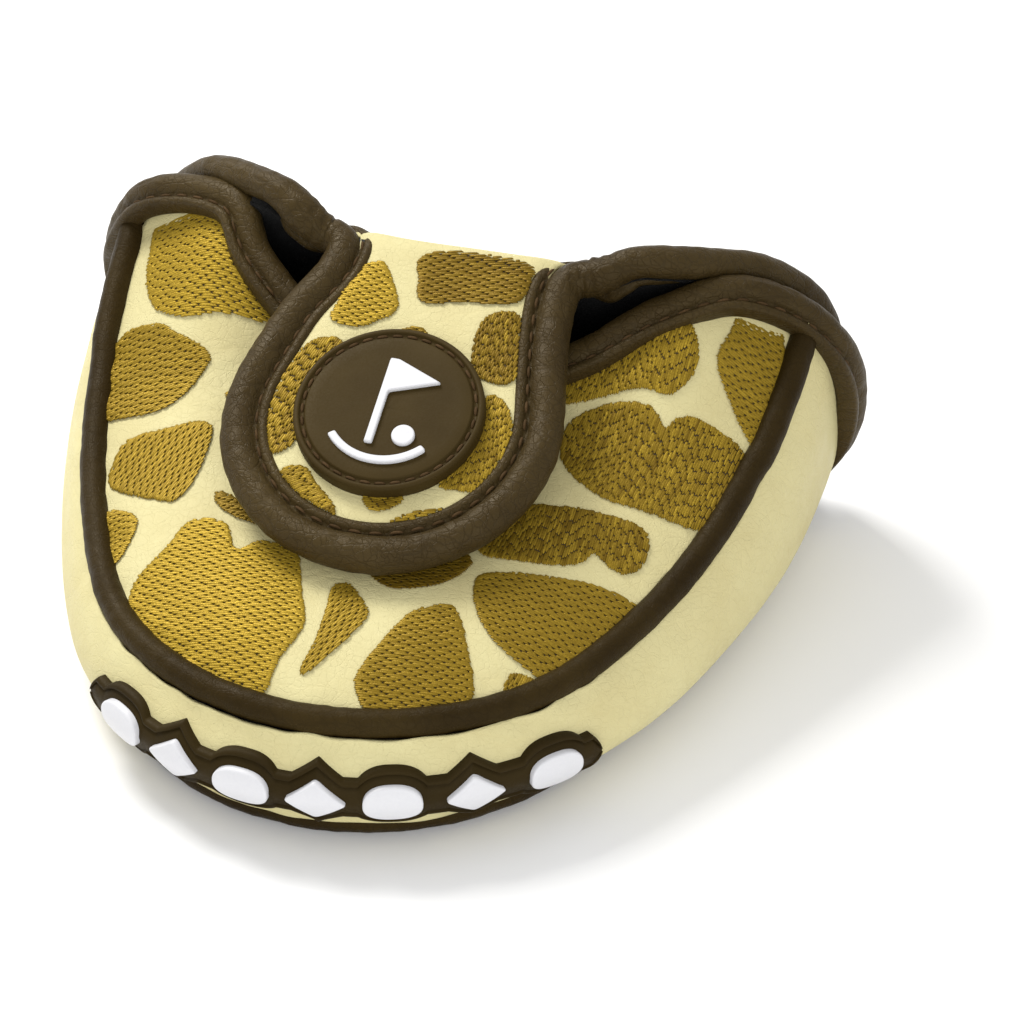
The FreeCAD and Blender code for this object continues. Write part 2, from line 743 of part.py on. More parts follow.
def badge():
    """A thick rubber disc with a rounded rim and a stitching groove near its edge."""
    body = doc.addObject("PartDesign::Body", "badge_base")
    sketch = circle_sketch(body, "badge_circle", "badge_radius")
    doc.recompute()
    disc = pad(body, sketch, "badge_pad", "badge_thick")
    doc.recompute()
    groove_sketch = new_sketch(body, "badge_groove_ring")
    groove_sketch.AttachmentOffset = FreeCAD.Placement(V(0, 0, size("badge_thick")), FreeCAD.Rotation())
    middle = size("badge_groove_radius")
    half = size("badge_groove_width") / 2
    for radius in (middle - half, middle + half):
        groove_sketch.addGeometry(Part.Circle(V(0, 0, 0), UP, radius), False)
    doc.recompute()
    plain_volume = body.Shape.Volume
    groove = body.newObject("PartDesign::Pocket", "badge_groove")
    groove.Profile = groove_sketch
    groove.setExpression("Length", "Sizes.badge_groove_depth")
    doc.recompute()
    if body.Shape.Volume > plain_volume - 10:
        raise RuntimeError("the badge's groove cut nothing")
    rims = []
    for index, edge in enumerate(groove.Shape.Edges, start=1):
        centre = edge.CenterOfMass
        is_rim = abs(edge.Length - 2 * math.pi * size("badge_radius")) < 0.1
        if is_rim and centre.z > size("badge_thick") / 2:
            rims.append(f"Edge{index}")
    rounding = body.newObject("PartDesign::Fillet", "badge_rim")
    rounding.Base = (groove, rims)
    rounding.setExpression("Radius", "Sizes.badge_edge")
    body.Placement = on_flap(BADGE_HEIGHT, 0.0, -size("flap_reach"))
    doc.recompute()
    return name_node(body, "badge_base")


badge()
EMBLEM_HEIGHT = BADGE_HEIGHT + size("badge_thick") + 0.05


def emblem():
    """Raised golf motif: a flag on its stick, a curved stretch of ground and a ball."""
    raise_by = size("emblem_raise")
    parts = []
    stick = doc.addObject("Part::Box", "flag_stick")
    stick.Length = 1.4
    stick.Width = 17.0
    stick.Placement.Base = V(-2.2, -7.5, 0)
    parts.append(stick)
    pennant = doc.addObject("Part::Feature", "flag_pennant")
    corners = [V(-0.6, 9.5, 0), V(7.6, 6.2, 0), V(-0.6, 2.9, 0), V(-0.6, 9.5, 0)]
    pennant.Shape = Part.Face(Part.makePolygon(corners)).extrude(V(0, 0, raise_by))
    ground = doc.addObject("Part::Feature", "ground_arc")
    outer = Part.makeCylinder(11.2, raise_by, V(0, 0, 0), UP, 100)
    inner = Part.makeCylinder(9.8, raise_by, V(0, 0, 0), UP, 100)
    arc = outer.cut(inner)
    arc.rotate(V(0, 0, 0), UP, -140)
    ground.Shape = arc
    ball = doc.addObject("Part::Cylinder", "golf_ball")
    ball.Radius = 2.0
    ball.Placement.Base = V(4.0, -5.0, 0)
    for item in (stick, ball):
        item.setExpression("Height", "Sizes.emblem_raise")
    flag = doc.addObject("Part::MultiFuse", "flag")
    flag.Shapes = [stick, pennant]
    group = doc.addObject("Part::Compound", "badge_emblem")
    group.Links = [flag, ground, ball]
    group.Placement = on_flap(EMBLEM_HEIGHT, 0.0, -size("flap_reach"))
    doc.recompute()
    return name_node(group, "badge_emblem")


emblem()


# ---------------------------------------------------------------- threads
def loop_thread(label, radius, count, placement):
    """Short stitches evenly spaced round a circle, as one group."""
    pieces = []
    length = 0.62 * 2 * math.pi * radius / count
    for step in range(count):
        turn = 2 * math.pi * step / count
        along = V(-math.sin(turn), math.cos(turn), 0)
        middle = V(radius * math.cos(turn), radius * math.sin(turn), 0)
        pieces.append(Part.makeCylinder(0.22, length, middle - along * (length / 2), along))
    return shape_node(label, Part.makeCompound(pieces), placement)


groove_floor = BADGE_HEIGHT + size("badge_thick") - size("badge_groove_depth") + 0.25
loop_thread("badge_stitches", size("badge_groove_radius"), 36, on_flap(groove_floor, 0.0, -size("flap_reach")))


def flap_thread():
    """The running thread that holds the flap's binding, lying on the panel beside the roll."""
    curves = [curve.toShape() for curve in flap_curves(FLAP_EDGE + 0.6, -1.0)[:-1]]
    path = Part.Wire(curves)
    start = curves[0].valueAt(curves[0].FirstParameter)
    section = Part.Wire([Part.makeCircle(size("thread_radius"), start, V(0, 1, 0))])
    return path.makePipeShell([section], True, False)


shape_node("flap_binding_thread", flap_thread(), on_flap(2.1 + size("thread_radius") + 0.05))


# ---------------------------------------------------------------- embroidery
# Outlines of the raised embroidered spots, seen from above.
PANEL_SPOTS = [
    [(-56, 42), (-55.5, 35), (-54, 29.5), (-51, 24.5), (-47, 22.2), (-43, 21.3), (-37.5, 22.5), (-29, 22.6),
     (-27, 27), (-40, 37), (-50, 44)],
    [(-57, 22.5), (-49, 21.8), (-44.5, 19), (-37, 16), (-37.5, 13.5), (-39.5, 8.5), (-42.5, 5.5), (-47, 4.7),
     (-55, 5.2), (-57, 11)],
    [(-48.5, 0), (-45.5, 1), (-40.5, 1.5), (-35, 3.3), (-32.5, 2.2), (-31.9, -1), (-32, -9), (-34, -13.8),
     (-37.5, -13), (-45, -10.5), (-48.8, -8.5)],
    [(-48, -13), (-41.5, -15), (-39.5, -17), (-39.4, -21), (-40.8, -26.5), (-46, -23)],
    [(-31, -18.5), (-29, -17), (-24, -17.2), (-22.5, -19), (-20, -24.3), (-18, -21), (-16, -20), (-10, -20.8),
     (-8.5, -24), (-6.5, -30), (-3.7, -35.5), (-4, -39), (-6.2, -45), (-5.8, -51), (-20, -52), (-33, -43),
     (-36.2, -32.5), (-35.5, -28), (-32.5, -24)],
    [(-2, -27.5), (-0.5, -26.2), (1.5, -26.5), (3.5, -29), (6.2, -32), (5.5, -35), (2.5, -41), (-1, -46.5),
     (-2, -45.5), (-0.8, -40), (-1.2, -32)],
    [(12.5, -30), (15, -28.5), (18, -26.5), (20.3, -28), (23, -33), (28, -43), (21, -50), (12, -51),
     (7.5, -46.5), (7.5, -43), (10.5, -35)],
    [(20, -19), (26, -17), (34, -15), (40, -13.2), (50, -13.5), (46, -24), (38, -35), (36, -34), (31, -32.8),
     (26, -30.5), (22, -26)],
    [(30.5, -38), (30.8, -35.5), (32.5, -34), (37, -35), (33, -41)],
    [(23, -4), (25.5, -2.5), (30, -2), (37, -1), (44, -0.2), (45.8, -2), (46, -6), (44.5, -9), (41, -9.8),
     (37.5, -7.5), (37, -10), (34, -12.5), (26, -14.5), (19, -14.8), (17, -9)],
    [(26.5, 15), (30, 18), (35, 19.5), (40, 19.5), (41.8, 18.5), (43, 16.5), (44.5, 19.5), (49, 21), (58, 20.5),
     (57, 12), (54, 3.5), (44, 2.5), (37, 1.5), (32, 3.5), (27.5, 7.5), (26.5, 11)],
    [(22, 21), (26, 21.5), (34.5, 26.5), (41, 29.3), (45.2, 28), (45, 25.5), (42.5, 21.2), (39, 22), (36, 21.5),
     (30, 19.5), (24, 17.8), (21, 18)],
    [(61, 42), (52, 42), (50, 36.5), (48.5, 32), (48.5, 29.3), (52, 26), (55.6, 23), (60, 23)],
    [(2, -22.5), (6, -25.4), (9, -25.8), (15, -23.5), (18.5, -19.5), (19.5, -15.5), (14, -14), (6, -18)],
    [(-28, -11), (-26, -10.7), (-20, -14), (-17, -17), (-23, -16), (-27, -13.5)],
    [(-33, 10), (-27, 11), (-27, 7.5), (-32.8, 8.3)],
]
FLAP_SPOTS = [
    [(-13.9, -6.1), (-10.1, -4.8), (-9.2, -5.1), (-6.4, -9.5), (-4.7, -12.9), (-5, -14.8), (-7.9, -17),
     (-10.4, -18.8), (-15.9, -18.3), (-15.6, -15.8), (-14.8, -11.4)],
    [(-11.1, -21.4), (-15.4, -21.4), (-17, -22.6), (-18.6, -24.5), (-19.8, -28.3), (-20.4, -32), (-20.6, -37),
     (-20.1, -41.4), (-18.9, -45.1), (-17, -46.3), (-14.2, -43.3), (-12, -34)],
    [(-16.4, -49.2), (-12.6, -47.3), (-10.4, -47.9), (-8.9, -50.1), (-4.5, -53.6), (-3.3, -55.9), (-7, -55.1),
     (-11.4, -53.6)],
    [(-4.5, -3.3), (-2, -1.3), (3, -0.6), (16.2, -0.6), (16.4, -3.9), (15.8, -8.4), (11.8, -9.8), (4.9, -10.1),
     (1.8, -11.4), (-0.8, -11.7), (-2.3, -10.8), (-2.9, -7)],
    [(11.1, -11.4), (16, -10.1), (17.4, -13.9), (18.6, -20.1), (19, -23.3), (17.4, -25.4), (13.6, -24.8),
     (11.1, -24.2), (10, -19.5), (9.8, -14.5)],
    [(14.9, -27.1), (18, -27.9), (20.6, -32), (21.8, -35.8), (21.6, -40.8), (20, -45.1), (18.8, -46.5),
     (15.5, -46.7), (11.1, -47.5), (12.5, -40), (13, -33)],
    [(-3.9, -18.3), (-1.4, -16.7), (0.8, -16.7), (2.1, -18.1), (1, -20), (-3, -20)],
    [(-0.8, -50.5), (1.1, -53.6), (3.6, -53.4), (5.8, -52), (7, -50), (4, -49)],
    [(4.3, -55.8), (8, -52.9), (11.8, -51.1), (15.2, -50.1), (11.8, -53.6), (8, -55.1)],
]
# The rear panel carries the same kind of spots; seen from behind, as (across, up).
REAR_SPOTS = [
    [(-50, 38), (-40, 44), (-30, 42), (-27, 32), (-36, 25), (-48, 27)],
    [(-20, 46), (-6, 48), (2, 42), (-2, 33), (-14, 31), (-21, 38)],
    [(12, 49), (20, 50), (30, 46), (32, 36), (22, 31), (11, 36)],
    [(42, 44), (50, 40), (54, 30), (46, 24), (39, 30), (38, 40)],
    [(-54, 19), (-42, 18), (-36, 12), (-44, 8), (-53, 10)],
    [(-28, 22), (-16, 25), (-6, 20), (-9, 11), (-24, 9)],
    [(2, 26), (14, 27), (22, 20), (16, 11), (4, 13)],
    [(30, 19), (42, 20), (52, 16), (50, 9), (34, 9)],
]


def spot_face(points):
    """A flat face bounded by straight runs between the given points."""
    corners = [V(x, y, 0) for x, y in points]
    return Part.Face(Part.makePolygon(corners + corners[:1]))


EMBROIDERY_GAP = 0.05
raised = size("embroidery_raise")
cover_sheet = on_panel(height_slab(EMBROIDERY_GAP + raised, raised), -PIPING_CLEAR - 0.3)
panel_pieces = [cover_sheet.common(spot_face(spot).extrude(V(0, 0, 90))) for spot in PANEL_SPOTS]
shape_node("top_embroidery", Part.makeCompound(panel_pieces))
thread_edge = FLAP_EDGE + 1.3
flap_sheet = Part.Face(Part.Wire([curve.toShape() for curve in flap_curves(thread_edge, -0.4)]))
flap_pieces = []
badge_room = Part.makeCylinder(size("badge_radius") + 0.1, raised, V(0, -size("flap_reach"), 0))
for spot in FLAP_SPOTS:
    flap_pieces.append(flap_sheet.common(spot_face(spot)).extrude(V(0, 0, raised)).cut(badge_room))
shape_node("flap_embroidery", Part.makeCompound(flap_pieces), on_flap(2.1 + EMBROIDERY_GAP))
rear_sheet = rear_slab(-EMBROIDERY_GAP - raised, -EMBROIDERY_GAP).common(behind).cut(fold_room)
rear_pieces = []
for spot in REAR_SPOTS:
    face = spot_face(spot)
    face.rotate(V(0, 0, 0), LATERAL, 90)
    rear_pieces.append(rear_sheet.common(face.extrude(V(0, 90, 0))))
shape_node("rear_embroidery", Part.makeCompound(rear_pieces))

# ---------------------------------------------------------------- rubber strip on the gusset
STRIP_START, STRIP_END = -33.0, -135.0
STRIP_STEPS = 12
STRIP_MIDDLE = 11.6
MOTIF_TURNS = [-42.5, -57.5, -71.5, -84.5, -97.5, -111.0, -124.5]


def gusset_point(angle, height, lift):
    """A point this far outside the gusset's skin, found on its profile by height."""
    spot = pouch.point(angle)
    normal = V(math.cos(angle), math.sin(angle), 0)
    profile = gusset_profile(angle, piping_height(spot.y), 0.0)
    curve = Part.BSplineCurve()
    curve.interpolate([V(offset, level, 0) for offset, level in profile])
    level_line = Part.makeLine(V(-90, height, 0), V(90, height, 0))
    offset = curve.toShape().distToShape(level_line)[1][0][0].x
    return V(spot.x, spot.y, height) + normal * (offset + lift)


def strip_section(angle):
    """A closed wire across the rubber strip."""
    half = size("strip_height") / 2
    levels = [STRIP_MIDDLE + half * step / 2 for step in (-2, -1, 0, 1, 2)]
    inside = [gusset_point(angle, level, 0.15) for level in levels]
    outside = [gusset_point(angle, level, 0.15 + size("strip_thick")) for level in levels]
    near = Part.BSplineCurve()
    near.interpolate(inside)
    far = Part.BSplineCurve()
    far.interpolate(list(reversed(outside)))
    return Part.Wire([
        near.toShape(), Part.makeLine(inside[-1], outside[-1]),
        far.toShape(), Part.makeLine(outside[0], inside[0]),
    ])


turn_step = (STRIP_END - STRIP_START) / STRIP_STEPS
strip_turns = [math.radians(STRIP_START + turn_step * step) for step in range(STRIP_STEPS + 1)]
shape_node("strip_base", Part.makeLoft([strip_section(turn) for turn in strip_turns], True, False))


def strip_motifs():
    """Raised oval discs and diamonds in turn along the strip."""
    pieces = []
    for index, degrees in enumerate(MOTIF_TURNS):
        angle = math.radians(degrees)
        normal = V(math.cos(angle), math.sin(angle), 0)
        middle = gusset_point(angle, STRIP_MIDDLE, 0.35 + size("strip_thick"))
        across = normal.cross(UP)
        if index % 2:
            wide = across * size("diamond_half_width")
            high = UP * size("diamond_half_height")
            outline = Part.makePolygon([middle + point for point in (wide, high, -wide, -high, wide)])
        else:
            wide = across * size("disc_half_width")
            high = UP * size("disc_half_height")
            outline = Part.Wire(Part.Ellipse(middle + wide, middle + high, middle).toShape())
        pieces.append(Part.Face(outline).extrude(normal * size("motif_raise")))
    return Part.makeCompound(pieces)


shape_node("strip_motifs", strip_motifs())

# ---------------------------------------------------------------- checks and export
doc.recompute()
for item in doc.Objects:
    if "Invalid" in item.State or "Error" in item.State:
        raise RuntimeError(f"{item.Name} failed: {item.State}")
os.makedirs("parts", exist_ok=True)
for item in nodes:
    if item.Shape.isNull() or not item.Shape.isValid() or not item.Shape.Solids:
        raise RuntimeError(f"{item.Label} has no valid solid")
for item in nodes:
    item.Shape.exportStep(f"parts/{item.Label}.step")
print(f"{len(nodes)} sub-parts written")
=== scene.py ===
"""Putter head cover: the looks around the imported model. Lengths are in millimetres until a mesh is made."""
import math

import bmesh
import bpy
import numpy as np
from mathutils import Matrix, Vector, geometry


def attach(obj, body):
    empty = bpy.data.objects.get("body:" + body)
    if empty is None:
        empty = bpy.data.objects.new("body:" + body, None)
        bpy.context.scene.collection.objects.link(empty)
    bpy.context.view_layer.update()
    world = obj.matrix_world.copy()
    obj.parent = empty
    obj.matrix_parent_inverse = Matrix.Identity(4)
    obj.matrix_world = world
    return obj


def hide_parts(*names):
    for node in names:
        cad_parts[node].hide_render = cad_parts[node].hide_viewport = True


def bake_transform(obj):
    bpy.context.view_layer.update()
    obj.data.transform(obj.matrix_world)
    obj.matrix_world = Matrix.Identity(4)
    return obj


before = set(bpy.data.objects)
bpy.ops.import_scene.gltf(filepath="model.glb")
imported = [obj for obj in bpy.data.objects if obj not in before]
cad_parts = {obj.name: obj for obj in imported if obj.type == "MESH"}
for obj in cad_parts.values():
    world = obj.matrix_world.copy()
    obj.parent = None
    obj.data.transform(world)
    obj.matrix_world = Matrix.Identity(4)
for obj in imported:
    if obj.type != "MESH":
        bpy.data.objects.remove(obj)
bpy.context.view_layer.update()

MM = 0.001

# ---------------------------------------------------------------- camera, floor and light
TARGET = Vector((0.01763, 0.0078, 0.025))
AZIMUTH, ELEVATION = math.radians(16.31), math.radians(37.0)
DISTANCE = 0.9
LENS_MM, SENSOR_MM = 188.14, 36.0


def make_camera():
    data = bpy.data.cameras.new("camera")
    data.lens = LENS_MM
    data.sensor_width = SENSOR_MM
    camera = bpy.data.objects.new("camera", data)
    bpy.context.collection.objects.link(camera)
    back = Vector((
        math.sin(AZIMUTH) * math.cos(ELEVATION), -math.cos(AZIMUTH) * math.cos(ELEVATION), math.sin(ELEVATION)
    ))
    camera.location = TARGET + back * DISTANCE
    camera.rotation_euler = (-back).to_track_quat("-Z", "Y").to_euler()
    bpy.context.scene.camera = camera


def area_light(name, place, aim, size, power, colour):
    data = bpy.data.lights.new(name, "AREA")
    data.shape = "RECTANGLE"
    data.size, data.size_y = size
    data.energy = power
    data.color = colour
    light = bpy.data.objects.new(name, data)
    bpy.context.collection.objects.link(light)
    light.location = place
    light.rotation_euler = (Vector(aim) - Vector(place)).to_track_quat("-Z", "Y").to_euler()


def make_studio():
    mesh = bpy.data.meshes.new("floor")
    half = 6.0
    corners = [(-half, -half, 0), (half, -half, 0), (half, half, 0), (-half, half, 0)]
    mesh.from_pydata(corners, [], [(0, 1, 2, 3)])
    floor = bpy.data.objects.new("floor", mesh)
    bpy.context.collection.objects.link(floor)
    material = bpy.data.materials.new("floor")
    material.use_nodes = True
    shader = material.node_tree.nodes["Principled BSDF"]
    shader.inputs["Base Color"].default_value = (0.93, 0.93, 0.93, 1)
    shader.inputs["Roughness"].default_value = 0.9
    mesh.materials.append(material)
    world = bpy.data.worlds.new("world")
    world.use_nodes = True
    background = world.node_tree.nodes["Background"]
    background.inputs["Color"].default_value = (1.0, 1.0, 1.0, 1)
    background.inputs["Strength"].default_value = 0.72
    bpy.context.scene.world = world
    area_light("key", (-0.42, 0.30, 0.62), (0, 0, 0.03), (0.30, 0.30), power=5.6, colour=(1.0, 0.985, 0.96))
    area_light("front_fill", (0.35, -0.75, 0.45), (0, 0, 0.02), (0.6, 0.4), power=3.0, colour=(1.0, 1.0, 1.0))
    bpy.context.scene.view_settings.view_transform = "Standard"


make_camera()
make_studio()


# ---------------------------------------------------------------- materials
class Shader:
    """A short way to build a procedural material's nodes."""

    def __init__(self, name):
        self.material = bpy.data.materials.new(name)
        self.material.use_nodes = True
        self.tree = self.material.node_tree
        self.main = self.tree.nodes["Principled BSDF"]
        self.coords = self.add("ShaderNodeTexCoord").outputs["Object"]

    def add(self, kind, **settings):
        node = self.tree.nodes.new(kind)
        for key, value in settings.items():
            setattr(node, key, value)
        return node

    def put(self, target, value):
        if isinstance(value, bpy.types.NodeSocket):
            self.tree.links.new(value, target)
        else:
            target.default_value = value

    def noise(self, scale, detail=3.0, roughness=0.55):
        node = self.add("ShaderNodeTexNoise")
        self.put(node.inputs["Vector"], self.coords)
        node.inputs["Scale"].default_value = scale
        node.inputs["Detail"].default_value = detail
        node.inputs["Roughness"].default_value = roughness
        return node.outputs["Fac"]

    def cells(self, scale, coords):
        """Distance to the edge of irregular cells."""
        node = self.add("ShaderNodeTexVoronoi", feature="DISTANCE_TO_EDGE")
        self.put(node.inputs["Vector"], coords)
        node.inputs["Scale"].default_value = scale
        return node.outputs["Distance"]

    def warp(self, scale, amount, stretch=(1, 1, 1)):
        """Coordinates pushed about by noise and stretched, for irregular cells."""
        node = self.add("ShaderNodeTexNoise")
        self.put(node.inputs["Vector"], self.coords)
        node.inputs["Scale"].default_value = scale
        node.inputs["Detail"].default_value = 2.0
        spread = self.add("ShaderNodeVectorMath", operation="MULTIPLY_ADD")
        self.put(spread.inputs[0], node.outputs["Color"])
        spread.inputs[1].default_value = (amount, amount, amount)
        self.put(spread.inputs[2], self.coords)
        scaled = self.add("ShaderNodeVectorMath", operation="MULTIPLY")
        self.put(scaled.inputs[0], spread.outputs["Vector"])
        scaled.inputs[1].default_value = stretch
        return scaled.outputs["Vector"]

    def grey(self, value, low, high, out_low=0.0, out_high=1.0):
        """The value's range from low to high spread over another range."""
        node = self.add("ShaderNodeMapRange")
        self.put(node.inputs["Value"], value)
        for key, number in (("From Min", low), ("From Max", high), ("To Min", out_low), ("To Max", out_high)):
            node.inputs[key].default_value = number
        return node.outputs["Result"]

    def mix(self, share, first, second, mode="MIX"):
        node = self.add("ShaderNodeMix", data_type="RGBA", blend_type=mode)
        self.put(node.inputs["Factor"], share)
        self.put(node.inputs["A"], first if isinstance(first, bpy.types.NodeSocket) else (*first, 1))
        self.put(node.inputs["B"], second if isinstance(second, bpy.types.NodeSocket) else (*second, 1))
        return node.outputs["Result"]

    def math(self, operation, first, second=0.0):
        node = self.add("ShaderNodeMath", operation=operation)
        self.put(node.inputs[0], first)
        self.put(node.inputs[1], second)
        return node.outputs["Value"]

    def bump(self, height, distance, strength=1.0, under=None):
        node = self.add("ShaderNodeBump")
        node.inputs["Distance"].default_value = distance
        node.inputs["Strength"].default_value = strength
        self.put(node.inputs["Height"], height)
        if under:
            self.put(node.inputs["Normal"], under)
        return node.outputs["Normal"]

    def attribute(self, name):
        return self.add("ShaderNodeAttribute", attribute_name=name).outputs["Fac"]

    def finish(self, **inputs):
        names = {
            "colour": "Base Color", "rough": "Roughness", "normal": "Normal", "sheen": "Sheen Weight",
            "specular": "Specular IOR Level", "metal": "Metallic", "tint": "Specular Tint",
        }
        for key, value in inputs.items():
            if isinstance(value, tuple) and len(value) == 3:
                value = (*value, 1)
            self.put(self.main.inputs[names[key]], value)
        return self.material


def leather(name, light, dark, crease_shade, cell, grain_depth, net_depth, rough, specular):
    """Pebbled synthetic leather: uneven cells, a net of fine creases with painted shade darkening the colour
    along them, and slow colour drift.
    """
    s = Shader(name)
    pebble = s.cells(cell, s.warp(520, 0.0007))
    pebble_height = s.grey(pebble, 0.0, 0.16)
    fine = s.noise(2600, 2.0)
    net = s.grey(s.cells(cell * 0.30, s.warp(190, 0.004)), 0.0, 0.07)
    wide_net = s.grey(s.cells(cell * 0.16, s.warp(110, 0.005, (0.3, 1, 1))), 0.0, 0.07, 0.0, 1.0)
    creases = s.math("MULTIPLY", net, wide_net)
    drift = s.noise(45, 3.0)
    patch = s.noise(210, 2.0)
    colour = s.mix(s.grey(drift, 0.35, 0.65), dark, light)
    # painted shade: the colour is multiplied darker along the net of creases, where shade falls in them
    colour = s.mix(s.grey(creases, 0.0, 0.7, crease_shade, 0.0), colour, dark, "MULTIPLY")
    tops = s.bump(s.math("ADD", pebble_height, s.math("MULTIPLY", fine, 0.35)), grain_depth)
    normal = s.bump(creases, net_depth, 0.8, tops)
    roughness = s.grey(patch, 0.3, 0.7, rough - 0.06, rough + 0.08)
    return s.finish(colour=colour, rough=roughness, normal=normal, specular=specular, tint=WARM)


WARM = (1.0, 0.86, 0.62)
CREAM = leather(
    "cream_leather", (0.66, 0.60, 0.32), (0.60, 0.53, 0.27), crease_shade=0.05, cell=1900,
    grain_depth=0.000025, net_depth=0.00005, rough=0.52, specular=0.22,
)
BROWN = leather(
    "brown_leather", (0.056, 0.037, 0.012), (0.036, 0.0225, 0.0066), crease_shade=0.22, cell=2300,
    grain_depth=0.00002, net_depth=0.00008, rough=0.43, specular=0.17,
)
CORDED = leather(
    "piping_leather", (0.034, 0.0215, 0.0056), (0.020, 0.012, 0.003), crease_shade=0.15, cell=2300,
    grain_depth=0.00002, net_depth=0.00004, rough=0.46, specular=0.09,
)


def thread_material(name, bright, deep, rough, metal, shine):
    """Glossy twisted thread: strands along each stitch, and a value from deep to bright that each stitch
    carries; on the gold spots that value is painted reflection, differing from spot to spot, with random
    differences between stitches, and the strand noise adds painted glints.
    """
    s = Shader(name)
    sheen_and_tone = s.attribute("sheen_and_tone")
    strand = s.noise(3600, 3.0)
    # on the gold spots this mix is painted reflection: each spot is set brighter or more olive for the light
    # its threads catch
    colour = s.mix(sheen_and_tone, deep, bright)
    # partly the strands' own texture, partly painted glints: the strand noise darkens the colour in small
    # flecks
    colour = s.mix(s.grey(strand, 0.38, 0.62, 0.5, 0.0), colour, deep)
    normal = s.bump(strand, 0.00008, 0.9)
    tint = (1.0, 0.8, 0.4)
    return s.finish(colour=colour, rough=rough, normal=normal, specular=shine, metal=metal, tint=tint)


GOLD = thread_material(
    "gold_thread", (0.44, 0.295, 0.028), (0.135, 0.080, 0.006), rough=0.42, metal=0.35, shine=0.3
)
SEAM = thread_material(
    "brown_thread", (0.092, 0.054, 0.025), (0.040, 0.023, 0.010), rough=0.65, metal=0.0, shine=0.1
)


def rubber_material(name, low, high):
    s = Shader(name)
    speckle = s.noise(3200, 2.0)
    drift = s.noise(90, 2.0)
    colour = s.mix(s.grey(drift, 0.3, 0.7), low, high)
    rough = s.grey(speckle, 0.3, 0.7, 0.52, 0.68)
    normal = s.bump(speckle, 0.00003, 0.6)
    return s.finish(colour=colour, rough=rough, normal=normal, specular=0.14, tint=WARM)


def white_material():
    s = Shader("white_rubber")
    speckle = s.noise(1800, 2.0)
    colour = s.mix(s.grey(speckle, 0.3, 0.7), (0.66, 0.66, 0.685), (0.68, 0.68, 0.70))
    return s.finish(colour=colour, rough=0.35, normal=s.bump(speckle, 0.000008, 0.4), specular=0.4)


def plush_material():
    s = Shader("black_plush")
    pile = s.noise(1900, 4.0, 0.7)
    colour = s.mix(s.grey(pile, 0.35, 0.7), (0.0015, 0.0015, 0.0014), (0.008, 0.0075, 0.007))
    return s.finish(colour=colour, rough=0.95, normal=s.bump(pile, 0.0006), sheen=0.05, specular=0.04)


def plain_cloth(name, dark, light, scale, rough, relief=0.0002):
    s = Shader(name)
    weave = s.noise(scale, 3.0)
    colour = s.mix(s.grey(weave, 0.3, 0.7), dark, light)
    return s.finish(colour=colour, rough=rough, normal=s.bump(weave, relief))


RUBBER = rubber_material("badge_rubber_brown", (0.034, 0.021, 0.0045), (0.045, 0.029, 0.0075))
DARK_RUBBER = rubber_material("strip_rubber_brown", (0.019, 0.0115, 0.002), (0.027, 0.017, 0.0035))
WHITE = white_material()
PLUSH = plush_material()
FOAM = plain_cloth("dark_foam", (0.012, 0.012, 0.011), (0.035, 0.034, 0.032), scale=1600, rough=0.9)
CORD = plain_cloth("cotton_cord", (0.45, 0.41, 0.33), (0.66, 0.61, 0.52), scale=2400, rough=0.9)
POUCH = plain_cloth("woven_pouch", (0.02, 0.02, 0.02), (0.06, 0.06, 0.06), scale=2200, rough=0.8)
# painted shade: the underlay is coloured dark so that the slits between the stitches look shaded
SHADED_UNDERLAY = plain_cloth(
    "gold_underlay_painted_shade", (0.022, 0.013, 0.002), (0.06, 0.035, 0.005), scale=1400, rough=0.7, relief=0.0001
)


def magnet_material():
    s = Shader("nickel")
    brushed = s.noise(900, 2.0)
    rough = s.grey(brushed, 0.3, 0.7, 0.22, 0.34)
    return s.finish(colour=(0.62, 0.60, 0.56), rough=rough, metal=1.0, normal=s.bump(brushed, 0.00001, 0.3))


NICKEL = magnet_material()


# ---------------------------------------------------------------- mesh helpers
def new_piece(name, points, faces, material, sheen_and_tone=None):
    """A smooth mesh object from points in millimetres."""
    mesh = bpy.data.meshes.new(name)
    mesh.from_pydata((np.asarray(points, float) * MM).tolist(), [], faces)
    mesh.validate()
    piece = bpy.data.objects.new(name, mesh)
    bpy.context.collection.objects.link(piece)
    mesh.materials.append(material)
    mesh.polygons.foreach_set("use_smooth", [True] * len(mesh.polygons))
    if sheen_and_tone is not None:
        attribute = mesh.attributes.new("sheen_and_tone", "FLOAT", "POINT")
        attribute.data.foreach_set("value", np.asarray(sheen_and_tone, np.float32))
    return piece


def face_outwards(piece):
    work = bmesh.new()
    work.from_mesh(piece.data)
    bmesh.ops.recalc_face_normals(work, faces=work.faces)
    work.to_mesh(piece.data)
    work.free()
    return piece


def grid_faces(rows, columns, wrap=False, start=0):
    """Quads of a grid stored row by row; wrap joins the last column to the first."""
    faces = []
    last = columns if wrap else columns - 1
    for row in range(rows - 1):
        for column in range(last):
            following = (column + 1) % columns
            low, high = start + row * columns, start + (row + 1) * columns
            faces.append((low + column, low + following, high + following, high + column))
    return faces


def apply_modifiers(piece):
    """Make the modified mesh the piece's own."""
    graph = bpy.context.evaluated_depsgraph_get()
    shaped = bpy.data.meshes.new_from_object(piece.evaluated_get(graph))
    old = piece.data
    piece.modifiers.clear()
    piece.data = shaped
    bpy.data.meshes.remove(old)
    return piece


def thicken(piece, thickness):
    """Turn a sheet into a thin closed shell that grows inwards."""
    solid = piece.modifiers.new("thickness", "SOLIDIFY")
    solid.thickness = thickness * MM
    solid.offset = -1.0
    return apply_modifiers(piece)


def full_turn(count):
    """Evenly spaced angles all the way round."""
    return np.arange(count) * 2 * math.pi / count


